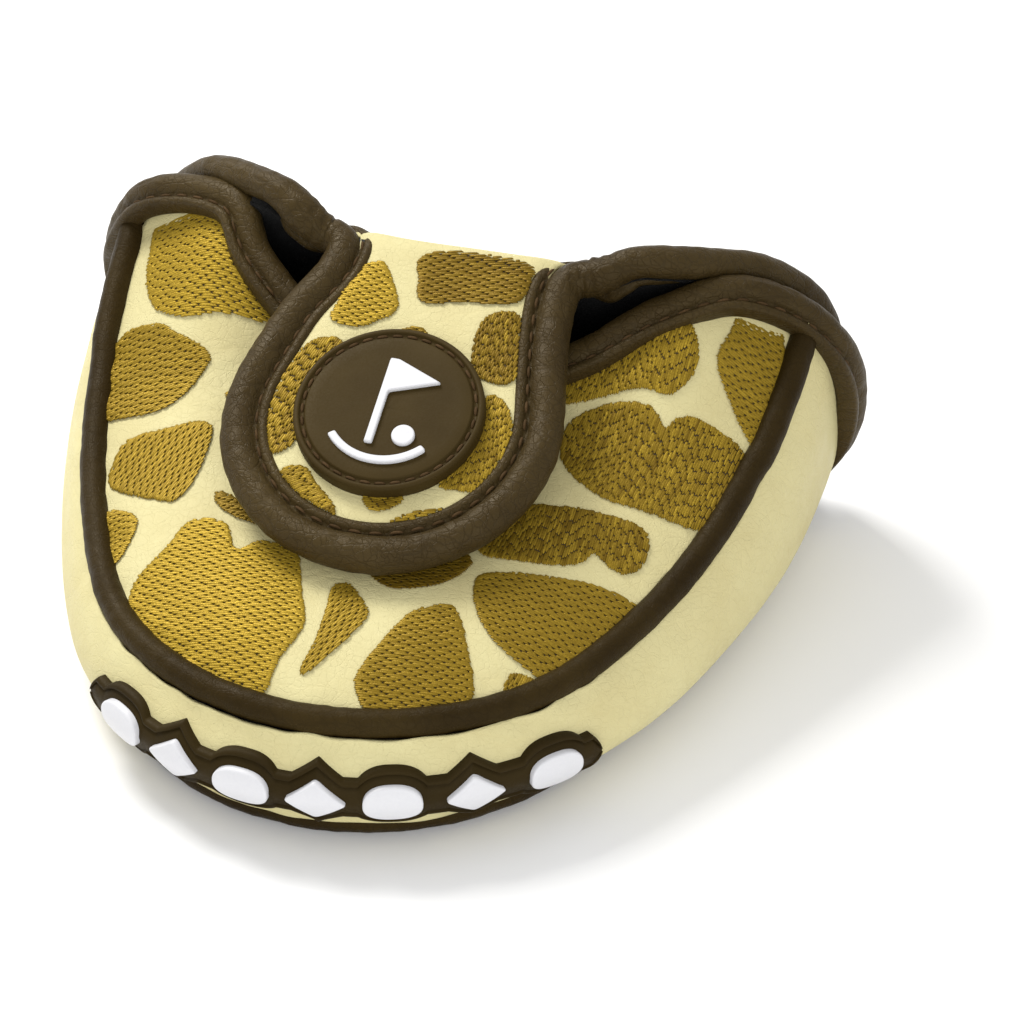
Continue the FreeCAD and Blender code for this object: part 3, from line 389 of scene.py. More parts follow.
def outward(angle):
    """Level unit vectors that make these angles with +X."""
    return np.stack([np.cos(angle), np.sin(angle), 0 * angle], axis=-1)


def smooth_step(value):
    value = np.clip(value, 0.0, 1.0)
    return value * value * (3 - 2 * value)


def unit(vectors):
    return vectors / np.linalg.norm(vectors, axis=-1, keepdims=True)


def waves(points, wavelength, seed, count=7):
    """Smooth random field, about -1 to 1, of this wavelength in millimetres."""
    dice = np.random.default_rng(seed)
    points = np.asarray(points, float)
    total = np.zeros(points.shape[:-1])
    for _ in range(count):
        direction = unit(dice.normal(size=points.shape[-1]))
        stretch = 2 * math.pi / (wavelength * dice.uniform(0.75, 1.35))
        total += np.sin(points @ direction * stretch + dice.uniform(0, 2 * math.pi))
    return total / math.sqrt(count)


def spline(points, count):
    """Evenly spaced points on a smooth curve through the given points."""
    knots = np.asarray(points, float)
    steps = np.r_[0, np.cumsum(np.sqrt(np.linalg.norm(np.diff(knots, axis=0), axis=1)))]
    before = knots[0] * 2 - knots[1]
    after = knots[-1] * 2 - knots[-2]
    padded = np.vstack([before, knots, after])
    times = np.r_[2 * steps[0] - steps[1], steps, 2 * steps[-1] - steps[-2]]
    dense = []
    for index in range(1, len(padded) - 2):
        t0, t1, t2, t3 = times[index - 1:index + 3]
        p0, p1, p2, p3 = padded[index - 1:index + 3]
        t = np.linspace(t1, t2, 60, endpoint=False)[:, None]
        a1 = (t1 - t) / (t1 - t0) * p0 + (t - t0) / (t1 - t0) * p1
        a2 = (t2 - t) / (t2 - t1) * p1 + (t - t1) / (t2 - t1) * p2
        a3 = (t3 - t) / (t3 - t2) * p2 + (t - t2) / (t3 - t2) * p3
        b1 = (t2 - t) / (t2 - t0) * a1 + (t - t0) / (t2 - t0) * a2
        b2 = (t3 - t) / (t3 - t1) * a2 + (t - t1) / (t3 - t1) * a3
        dense.append((t2 - t) / (t2 - t1) * b1 + (t - t1) / (t2 - t1) * b2)
    return resample(np.vstack(dense + [knots[-1:]]), count)


def distances(line):
    """How far along a polyline each of its points is."""
    return np.r_[0, np.cumsum(np.linalg.norm(np.diff(line, axis=0), axis=1))]


def at_places(wanted, places, values):
    """Rows of values, given at some places, read at others."""
    return np.stack([np.interp(wanted, places, column) for column in values.T], axis=1)


def resample(points, count):
    """The same polyline with evenly spaced points."""
    along = distances(points)
    return at_places(np.linspace(0, along[-1], count), along, points)


def line_length(points):
    return np.linalg.norm(np.diff(points, axis=0), axis=1).sum()


def frames(path, hints):
    """Tangent, face normal and inward direction along a path, from a hint of each point's face normal."""
    tangent = unit(np.gradient(path, axis=0))
    normal = unit(hints - tangent * (tangent * hints).sum(1, keepdims=True))
    return tangent, normal, np.cross(tangent, normal)


def sweep(name, path, normal, inward, section, material):
    """A closed tube whose section, an array of (inward, normal) pairs per ring, rides along a path."""
    across = inward[:, None, :] * section[..., 0:1]
    points = path[:, None, :] + across + normal[:, None, :] * section[..., 1:2]
    rings, sides = points.shape[:2]
    faces = grid_faces(rings, sides, wrap=True)
    faces.append(tuple(range(sides - 1, -1, -1)))
    faces.append(tuple(range((rings - 1) * sides, rings * sides)))
    return face_outwards(new_piece(name, points.reshape(-1, 3), faces, material))


def stitches(name, middles, along, normals, length, width, replaced, body, sag=0.25):
    """Separate rounded stitches, each bowed along its length, as one piece."""
    rings, sides = 7, 8
    place = np.linspace(-1, 1, rings)
    girth = np.sqrt(np.clip(1 - np.abs(place) ** 3, 0.02, 1))
    turn = full_turn(sides)
    points, faces, sheen_and_tones = [], [], []
    for index, (middle, direction, normal) in enumerate(zip(middles, along, normals)):
        side = np.cross(direction, normal)
        start = len(points) * rings * sides
        ring = (
            middle[None, None, :]
            + direction * (place * length / 2)[:, None, None]
            - normal * (sag * place ** 2)[:, None, None]
            + side * (np.cos(turn) * width / 2)[None, :, None] * girth[:, None, None]
            + normal * (np.sin(turn) * width * 0.42)[None, :, None] * girth[:, None, None]
        )
        points.append(ring.reshape(-1, 3))
        faces += grid_faces(rings, sides, wrap=True, start=start)
        faces.append(tuple(start + step for step in range(sides - 1, -1, -1)))
        faces.append(tuple(start + (rings - 1) * sides + step for step in range(sides)))
        sheen_and_tones += [0.35 + 0.6 * ((index * 7) % 5) / 5] * (rings * sides)
    piece = face_outwards(new_piece(name, np.vstack(points), faces, SEAM, sheen_and_tones))
    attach(piece, body)
    if replaced:
        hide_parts(*replaced)
    return piece


# ---------------------------------------------------------------- the pouch's form, as in the CAD
HALF_WIDTH, FRONT, MOUTH, APEX = 60.2, 52.5, 44.0, 48.0
DEPTH = FRONT + MOUTH
SIDE = (DEPTH ** 2 + HALF_WIDTH ** 2 - 2 * DEPTH * APEX) / (2 * HALF_WIDTH - 2 * APEX)
SIDE_X = HALF_WIDTH - SIDE
APEX_Y = APEX - FRONT
CHANGE = math.atan2(APEX_Y - MOUTH, -SIDE_X)
FRONT_HEIGHT, RISE_START, RISE_RADIUS = 21.8, 44.0, 176.0
CROWN, CROWN_WIDTH = 7.0, 24.0
EAR_RISE, EAR_PLACE, EAR_WIDTH = 6.0, 42.0, 14.0
CENTRE_SAG = 3.0
BULGE = 5.6
SEAM_CLEAR = 2.4
BASE_DEEP = 5.0


def outline_point(angle, offset=0.0):
    """Plan point whose outward normal makes this angle with +X."""
    angle = np.asarray(angle, float)
    offset = np.broadcast_to(offset, angle.shape)
    left = angle < -math.pi / 2
    turn = np.where(left, -math.pi - angle, angle)
    on_side = turn > CHANGE
    radius = np.where(on_side, SIDE, APEX) + offset
    x = np.where(on_side, SIDE_X, 0.0) + radius * np.cos(turn)
    y = np.where(on_side, MOUTH, APEX_Y) + radius * np.sin(turn)
    return np.stack([np.where(left, -x, x), y], axis=-1)


def piping_height(y):
    run = np.maximum(y + RISE_START, 0.0)
    return FRONT_HEIGHT + RISE_RADIUS - np.sqrt(RISE_RADIUS ** 2 - run ** 2)


def inset_distance(x, y):
    x = np.abs(x)
    turn = np.arctan2(y - APEX_Y, x)
    apex = APEX - np.hypot(x, y - APEX_Y)
    side = SIDE - np.hypot(x - SIDE_X, y - MOUTH)
    return np.where(y > MOUTH, HALF_WIDTH - x, np.where(turn < CHANGE, apex, side))


def panel_height(x, y):
    inside = np.clip(inset_distance(x, y), 0.0, None) / CROWN_WIDTH
    inside = np.clip(inside, 0.0, 1.0)
    ear = EAR_RISE * smooth_step((y - 8) / 28) * np.exp(-(((np.abs(x) - EAR_PLACE) / EAR_WIDTH) ** 2))
    sag = CENTRE_SAG * smooth_step((y + 5) / 22) * np.exp(-((x / EAR_WIDTH) ** 2))
    return piping_height(y) + (CROWN + ear - sag) * (1 - (1 - inside) ** 2)


def panel_creases(x, y):
    """Soft unevenness of the padded panel, with finer creases left of the flap and below its tip."""
    plan = np.stack([x, y], axis=-1)
    inside = inset_distance(x, y)
    slow = 0.28 * waves(plan, 26, 3) * smooth_step(inside / 12)
    pucker = 0.16 * waves(plan, 5.0, 5) * np.exp(-np.clip(inside - 2, 0, None) / 2.5)
    left = np.exp(-(((x + 31) / 7) ** 2 + ((y - 10) / 9) ** 2))
    below = np.exp(-(((x - 2) / 14) ** 2 + ((y + 28) / 6) ** 2))
    bent = plan + 1.5 * np.stack([waves(plan, 9, 11), waves(plan, 9, 12)], axis=-1)
    ridges = np.abs(waves(bent * (1.0, 2.6), 7.0, 13, 5))
    return slow + pucker + (0.30 * left + 0.18 * below) * (np.sqrt(ridges) - 0.8)


def top_surface(x, y):
    return np.stack([x, y, panel_height(x, y) + panel_creases(x, y)], axis=-1)


# centre lines of the two rim rolls with their face normals, from the middle to each foot;
# the left side is given mirrored
FRONT_RIM_RIGHT = np.array([
    (0, 17.5, 38), (24.4, 25.7, 44.8), (37.1, 33.2, 51.7), (48.3, 40, 54.2), (58.8, 44.7, 49.4),
    (66, 47.8, 40.6), (68, 50.8, 30.6), (66.3, 52.7, 18.7), (60, 52, 8.5),
])
FRONT_FACE_RIGHT = np.array([
    (0, -0.2, 1), (-0.25, -0.35, 1), (-0.1, -0.5, 1), (0.35, -0.45, 1), (0.9, -0.3, 0.8),
    (1, -0.1, 0.3), (1, 0, 0), (1, 0, -0.2), (1, 0, -0.5),
])
FRONT_RIM_LEFT = np.array([
    (0, 17.5, 38), (15.8, 21.2, 42), (26.6, 26.1, 47.4), (34.2, 31.9, 51.8), (39.4, 38.2, 56.2),
    (48.3, 42, 55.6), (58.8, 44.4, 50.7), (64.9, 47.6, 40.4), (67, 51.6, 31.2), (65.5, 53, 19.9),
    (60, 52, 8.5),
])
FRONT_FACE_LEFT = np.array([
    (0, -0.2, 1), (-0.15, -0.3, 1), (-0.3, -0.4, 1), (-0.25, -0.5, 1), (0, -0.5, 1), (0.35, -0.45, 1),
    (0.9, -0.3, 0.8), (1, -0.1, 0.3), (1, 0, 0), (1, 0, -0.2), (1, 0, -0.5),
])
REAR_RIM_RIGHT = np.array([
    (25.4, 33.4, 56.4), (28.4, 33.8, 57.9), (32.2, 35.2, 59.6), (38.1, 37.6, 59.4), (45.7, 43.7, 56.6),
    (52.4, 49.2, 52.7), (59.8, 54.2, 43.9), (63.7, 55.9, 29.9), (62.5, 57, 17.5), (59.5, 57.8, 9),
])
REAR_RIM_LEFT = np.array([
    (21.5, 33.3, 56.3), (24.8, 33.9, 58.4), (30.4, 36.4, 61.2), (37.7, 40.8, 60.2), (46.8, 46.6, 56.8),
    (53.3, 50.6, 50), (58.4, 53.9, 41), (61.4, 55.8, 29.9), (61.8, 57.1, 18.2), (59.5, 57.8, 9),
])
MIRROR = np.array([-1, 1, 1])


LEATHER_THICK, PADDED_FILL = 0.9, 0.7


def both_sides(right, left):
    """Right foot, middle, left foot."""
    return np.vstack([right[::-1], left[1:] * MIRROR])


FRONT_KNOTS = both_sides(FRONT_RIM_RIGHT, FRONT_RIM_LEFT)
FRONT_LINE = spline(FRONT_KNOTS, 400)


def mouth_edge(back, widest=57.5):
    """Plan line of the mouth's front rim from left to right, moved by this much along Y."""
    line = FRONT_LINE[(FRONT_LINE[:, 2] > 47) | (np.abs(FRONT_LINE[:, 0]) < 40)]
    line = line[np.abs(line[:, 0]) < widest]
    return line[::-1, :2] + (0, back)


def rim_limit(points, back):
    """How far back each point of the gusset may reach before it meets the front rim."""
    limits = []
    for line in (FRONT_RIM_RIGHT[::-1][:5], FRONT_RIM_LEFT[::-1][:5]):
        limits.append(np.interp(points[..., 2], line[:, 2], line[:, 1]))
    return np.where(points[..., 0] > 0, limits[0], limits[1]) + back


# ---------------------------------------------------------------- top panel
LIP_UNDERSIDE, LIP_REACH = 2.4, 2.2


def make_top_panel():
    """Padded top panel: rings from its middle out to the piping and the mouth's edge."""
    seam = outline_point(np.linspace(-0.02, -math.pi + 0.02, 260), -0.8)
    loop = np.vstack([seam, mouth_edge(-1.0), seam[:1]])
    middle = np.array([0.0, -6.0])
    # only points that go on round the middle are kept, so that no sector folds back
    turn = np.unwrap(np.arctan2(*(loop - middle).T[::-1]))
    turn = (turn - turn[0]) * np.sign(turn[-1] - turn[0])
    furthest = np.maximum.accumulate(turn)
    onwards = np.r_[True, (turn[1:] > furthest[:-1] + 1e-4)]
    onwards[-1] = True
    loop = resample(loop[onwards], 420)[:-1]
    shares = np.linspace(0, 1, 90)[1:] ** 0.85
    plan = middle + (loop - middle) * shares[:, None, None]
    points = top_surface(plan[..., 0], plan[..., 1]).reshape(-1, 3)
    count = len(loop)
    faces = grid_faces(len(shares), count, wrap=True)
    centre = len(points)
    points = np.vstack([points, top_surface(middle[0], middle[1])])
    # the panel's edge comes up under the rim's lip, where the lip stands higher than the padding
    index, gap = nearest(points[:, :2], FRONT_LINE[:, :2])
    short = np.maximum(FRONT_LINE[index, 2] - LIP_UNDERSIDE - points[:, 2], 0)
    points[:, 2] += short * np.exp(-((gap / LIP_REACH) ** 2))
    faces += [(centre, (step + 1) % count, step) for step in range(count)]
    piece = face_outwards(new_piece("top_leather", points, faces, CREAM))
    thicken(piece, LEATHER_THICK)
    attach(piece, "cover")
    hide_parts("top_panel")


# ---------------------------------------------------------------- gusset
def base_offset(angle):
    return 5.0 * np.sin(angle) ** 2 - 3.5


PROFILE_SHARE = np.array([0.0, 0.22, 0.45, 0.68, 1.0])


def gusset_surface(run, share):
    """Run is the normal's angle, with straight sides beyond the ends; share goes from foot to head."""
    angle = np.clip(run, -math.pi, 0.0)
    rear = np.abs(run - angle) * 100.0
    spot = outline_point(angle)
    spot = spot + np.stack([np.zeros_like(rear), rear], axis=-1)
    top = piping_height(spot[..., 1])
    foot, head = BASE_DEEP, top - SEAM_CLEAR
    offsets = [base_offset(angle) + SEAM_CLEAR, BULGE - 1.0, BULGE, BULGE - 0.6, SEAM_CLEAR]
    offset = np.zeros_like(share)
    for index, (place, value) in enumerate(zip(PROFILE_SHARE, offsets)):
        weight = np.ones_like(share)
        for other, other_place in enumerate(PROFILE_SHARE):
            if other != index:
                weight = weight * (share - other_place) / (place - other_place)
        offset = offset + weight * value
    normal = np.stack([np.cos(angle), np.sin(angle)], axis=-1)
    plan = spot + normal * offset[..., None]
    return np.concatenate([plan, (foot + share * (head - foot))[..., None]], axis=-1)


def soft_gusset(run, share):
    """The gusset with its soft dents and small puckers along both seams."""
    points = gusset_surface(run, share)
    edge = np.minimum(share, 1 - share)
    dent = 0.35 * waves(points * (1, 1, 0.6), 34, 21) * smooth_step(edge / 0.25)
    pucker = 0.14 * waves(points, 6.0, 22) * np.exp(-edge / 0.12)
    return points, dent + pucker


def make_gusset():
    runs = np.linspace(0.045, -math.pi - 0.045, 420)
    shares = np.linspace(-0.05, 1.06, 46)
    run, share = np.meshgrid(runs, shares, indexing="ij")
    points, lift = soft_gusset(run, share)
    normal = outward(np.clip(run, -math.pi, 0))
    points = points + normal * lift[..., None]
    points[..., 1] = np.minimum(points[..., 1], rim_limit(points, -2.4))
    piece = face_outwards(new_piece("gusset_leather", points.reshape(-1, 3), grid_faces(*run.shape), CREAM))
    thicken(piece, LEATHER_THICK)
    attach(piece, "cover")
    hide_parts("gusset_band")


# ---------------------------------------------------------------- pipings
PIPING_SIDES, PIPING_CORD = 26, 1.5


def round_section(sides, radius, path, seed, rough=0.06):
    """Round sections with the small lumps of leather pulled over a cord."""
    turn = full_turn(sides)
    along = distances(path)
    run, angle = np.meshgrid(along, turn, indexing="ij")
    field = np.stack([run, np.cos(angle) * 3, np.sin(angle) * 3], axis=-1)
    lump = rough * waves(field, 9, seed) + rough * 0.6 * waves(field, 3.0, seed + 1)
    reach = radius + lump
    return np.stack([np.cos(angle) * reach, np.sin(angle) * reach], axis=-1)


def make_piping(name, path, radius, seed, replaced):
    """Leather pulled over a cord, lying flat along a seam."""
    _, normal, inward = frames(path, np.tile((0.0, 0.0, 1.0), (len(path), 1)))
    section = round_section(PIPING_SIDES, radius, path, seed)
    piece = sweep(name, path, normal, inward, section, CORDED)
    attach(piece, "cover")
    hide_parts(replaced)
    cord_name = f"{replaced}_core"
    cord = make_filler(cord_name, path, normal, inward, PIPING_CORD, seed + 40, [f"{replaced}_cord"])
    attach(cord, "cover")


def make_pipings():
    angles = np.linspace(0.0, -math.pi, 520)
    plan = outline_point(angles)
    # the cord rides up a little near each end, where the ear begins
    step = 0.5 * smooth_step((plan[:, 1] - 17) / 5)
    plan = outline_point(angles, step)
    line = np.column_stack([plan, piping_height(plan[:, 1]) + 0.6 * step])
    make_piping("top_piping_leather", line, radius=2.45, seed=31, replaced="top_piping")
    angles = np.linspace(0.0, -math.pi, 460)
    plan = outline_point(angles, base_offset(angles))
    rear = np.array([(plan[0, 0], 48.0), (plan[0, 0], 46.0)])
    plan = resample(np.vstack([rear, plan, rear[::-1] * (-1, 1)]), 500)
    line = np.column_stack([plan, np.full(len(plan), 2.65)])
    make_piping("bottom_piping_leather", line, radius=2.4, seed=33, replaced="bottom_piping")


# ---------------------------------------------------------------- rolled bindings
def binding_profile(radius, lip):
    """Closed section of a rolled binding: the roll, a stitched groove and a flat lip on both faces."""
    roll_turns = map(math.radians, np.linspace(36, 324, 30))
    roll = [(radius * math.cos(turn), radius * math.sin(turn)) for turn in roll_turns]
    lip_centre = radius * 0.98 + lip * 0.5 + 0.25
    lip_radius = lip * 0.5
    height = radius * 0.47

    def lip_face(side):
        turns = map(math.radians, np.linspace(10, 170, 8) if side > 0 else np.linspace(-170, -10, 8))
        return [(lip_centre + lip_radius * math.cos(turn), side * height + lip_radius * 0.95 * math.sin(turn))
                for turn in turns]

    below, above = (radius * 0.93, -radius * 0.42), (radius * 0.93, radius * 0.42)
    return np.array(roll + [below] + lip_face(-1) + lip_face(1) + [above])


def binding_sections(path, radius, lip, seed, gathers=()):
    """The profile at each ring, with slow lumps, long wrinkles and gathers at tight corners."""
    profile = binding_profile(radius, lip)
    along = distances(path)
    reach = np.linalg.norm(profile, axis=1)
    angle = np.arctan2(profile[:, 1], profile[:, 0])
    run, turn = np.meshgrid(along, angle, indexing="ij")
    ring = np.stack([run, np.cos(turn) * 4, np.sin(turn) * 4], axis=-1)
    lump = 0.11 * waves(ring, 15, seed) + 0.05 * waves(ring, 4.0, seed + 1)
    wrinkle = -0.17 * np.exp(-(waves(ring * (0.16, 1, 1), 2.4, seed + 2) / 0.16) ** 2)
    wrinkle *= smooth_step(waves(ring * (1, 0, 0), 30, seed + 3) + 0.4)
    outer = smooth_step((3.9 - reach) / 0.5)[None, :]
    change = (lump + wrinkle) * outer
    for place, spread, depth in gathers:
        window = np.exp(-(((run - place) / spread) ** 2))
        fold = np.sin(run * 2 * math.pi / 2.3 + 1.1 * np.sin(turn * 2 + seed))
        fold = fold + 0.5 * waves(ring, 2.0, seed + 4)
        change = change + depth * window * fold * outer
    scale = 1 + change / reach[None, :]
    return profile[None, :, :] * scale[..., None]


def seam_stitches(name, path, tangent, normal, inward, radius, replaced, body):
    """A running seam in the groove between the roll and its lip."""
    spacing, length, width = 3.5, 2.4, 0.55
    groove = path + inward * (radius * 1.02) + normal * (radius * 0.60)
    total = line_length(groove)
    count = int(total / spacing)
    index = np.linspace(spacing * 0.5 / total, 1 - spacing * 0.5 / total, count)
    along = distances(groove) / total
    middles, directions, ups = [at_places(index, along, data) for data in (groove, tangent, normal)]
    return stitches(name, middles, unit(directions), unit(ups), length, width, replaced, body)


def make_filler(name, path, normal, inward, radius, seed, replaced):
    """The soft cord inside a rolled binding, stopping just short of its ends."""
    inside = slice(3, -3)
    path = path[inside]
    section = round_section(12, radius, path, seed, 0.03)
    piece = sweep(name, path, normal[inside], inward[inside], section, CORD)
    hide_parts(*replaced)
    return piece


FRONT_ROLL, FRONT_CORD = 2.55, 1.6


def make_front_binding():
    """The mouth's front rim, from its left foot over the middle to its right foot."""
    knots = FRONT_KNOTS[::-1]
    path = spline(knots, 620)
    # the faces are given at the line's own knots, so they are spread by the same spacing
    steps = distances(knots)
    faces = both_sides(FRONT_FACE_RIGHT, FRONT_FACE_LEFT)[::-1]
    wanted = np.linspace(0, steps[-1], len(path))
    tangent, normal, inward = frames(path, at_places(wanted, steps, faces))
    section = binding_sections(path, FRONT_ROLL, lip=1.7, seed=41)
    piece = sweep("front_rim_leather", path, normal, inward, section, BROWN)
    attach(piece, "cover")
    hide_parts("front_binding")
    cord = make_filler("front_rim_cord", path, normal, inward, FRONT_CORD, 47, ["front_binding_filler"])
    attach(cord, "cover")
    seam_stitches("front_rim_stitches", path, tangent, normal, inward, FRONT_ROLL, [], "cover")


# ---------------------------------------------------------------- flap and rear wall
FOLD = np.array([0.0, 33.0, 56.5])
SLOPE = math.radians(21.5)
FLAP_DOWN = np.array([0.0, -math.cos(SLOPE), -math.sin(SLOPE)])
FLAP_FACE = np.array([0.0, -math.sin(SLOPE), math.cos(SLOPE)])
FLAP_ROUND, FLAP_REACH, FLAP_TAPER = 26.0, 35.0, math.radians(12.0)
NECK_ROUND, NECK_TURN = 20.0, 3.4
ROLL, ROLL_CORD = 3.15, 1.9
REAR_FOOT, WALL_HALF = 57.0, 2.5


def flap_point(x, reach, lift=0.0):
    """A point of the flap from its place across, its reach from the fold and its lift."""
    x, reach, lift = np.broadcast_arrays(np.asarray(x, float), reach, lift)
    return (
        FOLD + np.stack([x, 0 * x, 0 * x], axis=-1)
        + reach[..., None] * FLAP_DOWN + lift[..., None] * FLAP_FACE
    )


def flap_half_outline():
    """Right half of the binding's centre line on the flap, from the fold line to the tip."""
    tangent_x = FLAP_ROUND * math.cos(FLAP_TAPER)
    tangent_v = FLAP_REACH - FLAP_ROUND * math.sin(FLAP_TAPER)
    bend_v = NECK_TURN + NECK_ROUND * math.sin(FLAP_TAPER)
    bend_x = tangent_x - (tangent_v - bend_v) * math.tan(FLAP_TAPER)
    neck_x = bend_x - NECK_ROUND * (1 - math.cos(FLAP_TAPER))
    corner = [(neck_x + NECK_TURN * (1 - math.sin(t)), NECK_TURN * (1 - math.cos(t)))
              for t in np.linspace(0, math.pi / 2, 10)]
    neck = [(neck_x + NECK_ROUND * (1 - math.cos(t)), NECK_TURN + NECK_ROUND * math.sin(t))
            for t in np.linspace(0, FLAP_TAPER, 6)[1:]]
    round_end = [(FLAP_ROUND * math.cos(t), FLAP_REACH - FLAP_ROUND * math.sin(t))
                 for t in np.linspace(FLAP_TAPER, -math.pi / 2, 50)]
    return np.array(corner + neck + round_end)


FLAP_HALF = resample(flap_half_outline(), 260)


def neck_shift(side, reach):
    """How far each side of the soft flap leans to +X near the fold, seen from its own side."""
    if side > 0:
        return 1.2 * np.exp(-((reach / 8.0) ** 2))
    return -2.6 * np.exp(-((reach / 13.0) ** 4))


def rear_depth(x, z):
    share = (np.clip(z, 0, None) / 56.5) ** 2.2
    lean = (REAR_FOOT - 33.0) * share * (1 - 0.7 * (x / 60) ** 2)
    return REAR_FOOT + 1.6 * (x / 60) ** 4 - lean


def make_flap_binding():
    """One binding runs up the rear panel's edge, round the flap and down the other side."""
    across, reach = FLAP_HALF.T
    near_fold = np.exp(-((reach / 3.2) ** 2))
    on_flap = flap_point(across, reach) - np.outer(near_fold, (0, -0.3, 0.0))
    on_right, on_left = [on_flap + np.outer(neck_shift(side, reach), (1, 0, 0)) for side in (1, -1)]
    flap_faces = FLAP_FACE + near_fold[:, None] * (np.array([0, 0.5, 0.87]) - FLAP_FACE)
    wall_count = 200
    rear_faces = at_places(np.linspace(0, 1, wall_count), [0, 0.3, 0.62, 0.86, 1.0], np.array([
        (0, 1, -0.1), (0, 1, 0.05), (0, 0.95, 0.3), (0, 0.95, 0.4), (0, 0.9, 0.55),
    ]))
    right = np.vstack([spline(REAR_RIM_RIGHT, wall_count)[::-1], on_right])
    left = np.vstack([spline(REAR_RIM_LEFT, wall_count)[::-1], on_left]) * MIRROR
    faces = np.vstack([rear_faces, flap_faces])
    path = np.vstack([right, left[::-1][1:]])
    faces = np.vstack([faces, (faces * MIRROR)[::-1][1:]])
    along = distances(path)
    wanted = np.linspace(0, along[-1], 900)
    line, hints = [at_places(wanted, along, data) for data in (path, faces)]
    # a running mean takes the corners off the line and its faces
    kernel = np.hanning(15)
    kernel /= kernel.sum()
    for data in (line, hints):
        inner = np.stack([np.convolve(np.pad(data[:, axis], 7, mode="edge"), kernel, "valid")
                          for axis in range(3)], axis=1)
        data[8:-8] = inner[8:-8]
    tangent, normal, inward = frames(line, hints)
    corner_right = line_length(right[:wall_count]) - 1.5
    corner_left = along[-1] - line_length(left[:wall_count]) + 1.5
    gathers = [(corner_right, 4.5, 0.11), (corner_left, 4.0, 0.09)]
    section = binding_sections(line, ROLL, lip=2.0, seed=51, gathers=gathers)
    # the roll is slimmer on the wall and fuller beside the neck
    on_wall = np.maximum(smooth_step((line[:, 1] - 34) / 8), smooth_step((line[:, 0] ** 2 - 26 ** 2) / 200))
    plump = 0.12 * np.exp(-(((np.abs(line[:, 0]) - 28) / 4) ** 2)) * smooth_step((line[:, 1] - 31) / 2)
    section = section * (1 - 0.13 * on_wall + plump)[:, None, None]
    piece = sweep("flap_binding_leather", line, normal, inward, section, BROWN)
    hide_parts("flap_binding", "rear_binding_right", "rear_binding_left")
    fold_blend(piece)
    # the cord is cut short of the fold
    flap_part, wall_part = np.flatnonzero(line[:, 1] < 27.0), line[:, 1] > 40.0
    parts = [
        ("flap_binding_filler", flap_part, "flap"),
        ("rear_binding_filler_right", np.flatnonzero(wall_part & (line[:, 0] > 0)), "cover"),
        ("rear_binding_filler_left", np.flatnonzero(wall_part & (line[:, 0] < 0)), "cover"),
    ]
    for part_name, rings, body in parts:
        cord_name = f"{part_name}_cord"
        cord = make_filler(cord_name, line[rings], normal[rings], inward[rings], ROLL_CORD, 57, [part_name])
        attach(cord, body)
    seam = seam_stitches(
        "flap_binding_stitches", line, tangent, normal, inward, ROLL, ["flap_binding_thread"], "flap"
    )
    fold_blend(seam)


def fold_blend(piece):
    """Leave a piece without a parent, with its placement baked into its mesh."""
    piece.parent = None
    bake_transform(piece)


# ---------------------------------------------------------------- outlines filled with triangles
def rounded_loop(points, passes=3):
    """A closed outline with its corners cut until it is smooth, running anticlockwise."""
    loop = np.asarray(points, float)
    following = np.roll(loop, -1, axis=0)
    if (loop[:, 0] * following[:, 1] - following[:, 0] * loop[:, 1]).sum() < 0:
        loop = loop[::-1]
    for _ in range(passes):
        following = np.roll(loop, -1, axis=0)
        cut = [loop * 0.75 + following * 0.25, loop * 0.25 + following * 0.75]
        loop = np.stack(cut, axis=1).reshape(-1, 2)
    return loop


def even_loop(loop, step):
    closed = np.vstack([loop, loop[:1]])
    return resample(closed, max(int(line_length(closed) / step), 12) + 1)[:-1]


def inset_loop(loop, distance):
    """The anticlockwise outline moved inwards."""
    along = unit(np.roll(loop, -1, axis=0) - np.roll(loop, 1, axis=0))
    return loop + np.stack([-along[:, 1], along[:, 0]], axis=1) * distance


def is_inside(points, loop):
    x, y = points[:, 0], points[:, 1]
    inside = np.zeros(len(points), bool)
    for (x0, y0), (x1, y1) in zip(loop, np.roll(loop, -1, axis=0)):
        if y0 != y1:
            inside ^= ((y0 > y) != (y1 > y)) & (x < x0 + (y - y0) * (x1 - x0) / (y1 - y0))
    return inside


def nearest(points, line):
    """Index of the line's nearest point, and its distance, for each point."""
    gaps = np.linalg.norm(points[:, None, :] - line[None, :, :], axis=2)
    index = gaps.argmin(axis=1)
    return index, gaps[np.arange(len(points)), index]


def keep_inside(loop, fence):
    """Points outside the fence move to its nearest place."""
    index, _ = nearest(loop, fence)
    return np.where(is_inside(loop, fence)[:, None], loop, fence[index])


def fill_loop(loop, step):
    """Triangles inside an outline: their points, the outline's own first, and their corners."""
    low, high = loop.min(axis=0), loop.max(axis=0)
    rows = np.arange(low[1], high[1], step * 0.87)
    x, y = np.meshgrid(np.arange(low[0], high[0] + step, step), rows)
    x = x + ((np.arange(len(rows)) % 2) * step / 2)[:, None]
    spots = np.stack([x.ravel(), y.ravel()], axis=1)
    spots = spots[is_inside(spots, loop)]
    if len(spots):
        spots = spots[nearest(spots, loop)[1] > step * 0.45]
    everything = np.vstack([loop, spots])
    count = len(loop)
    edges = [(step_in, (step_in + 1) % count) for step_in in range(count)]
    found = geometry.delaunay_2d_cdt([Vector(spot) for spot in everything], edges, [], 1, 1e-6)
    return np.array([tuple(spot) for spot in found[0]]), [tuple(face) for face in found[2]]


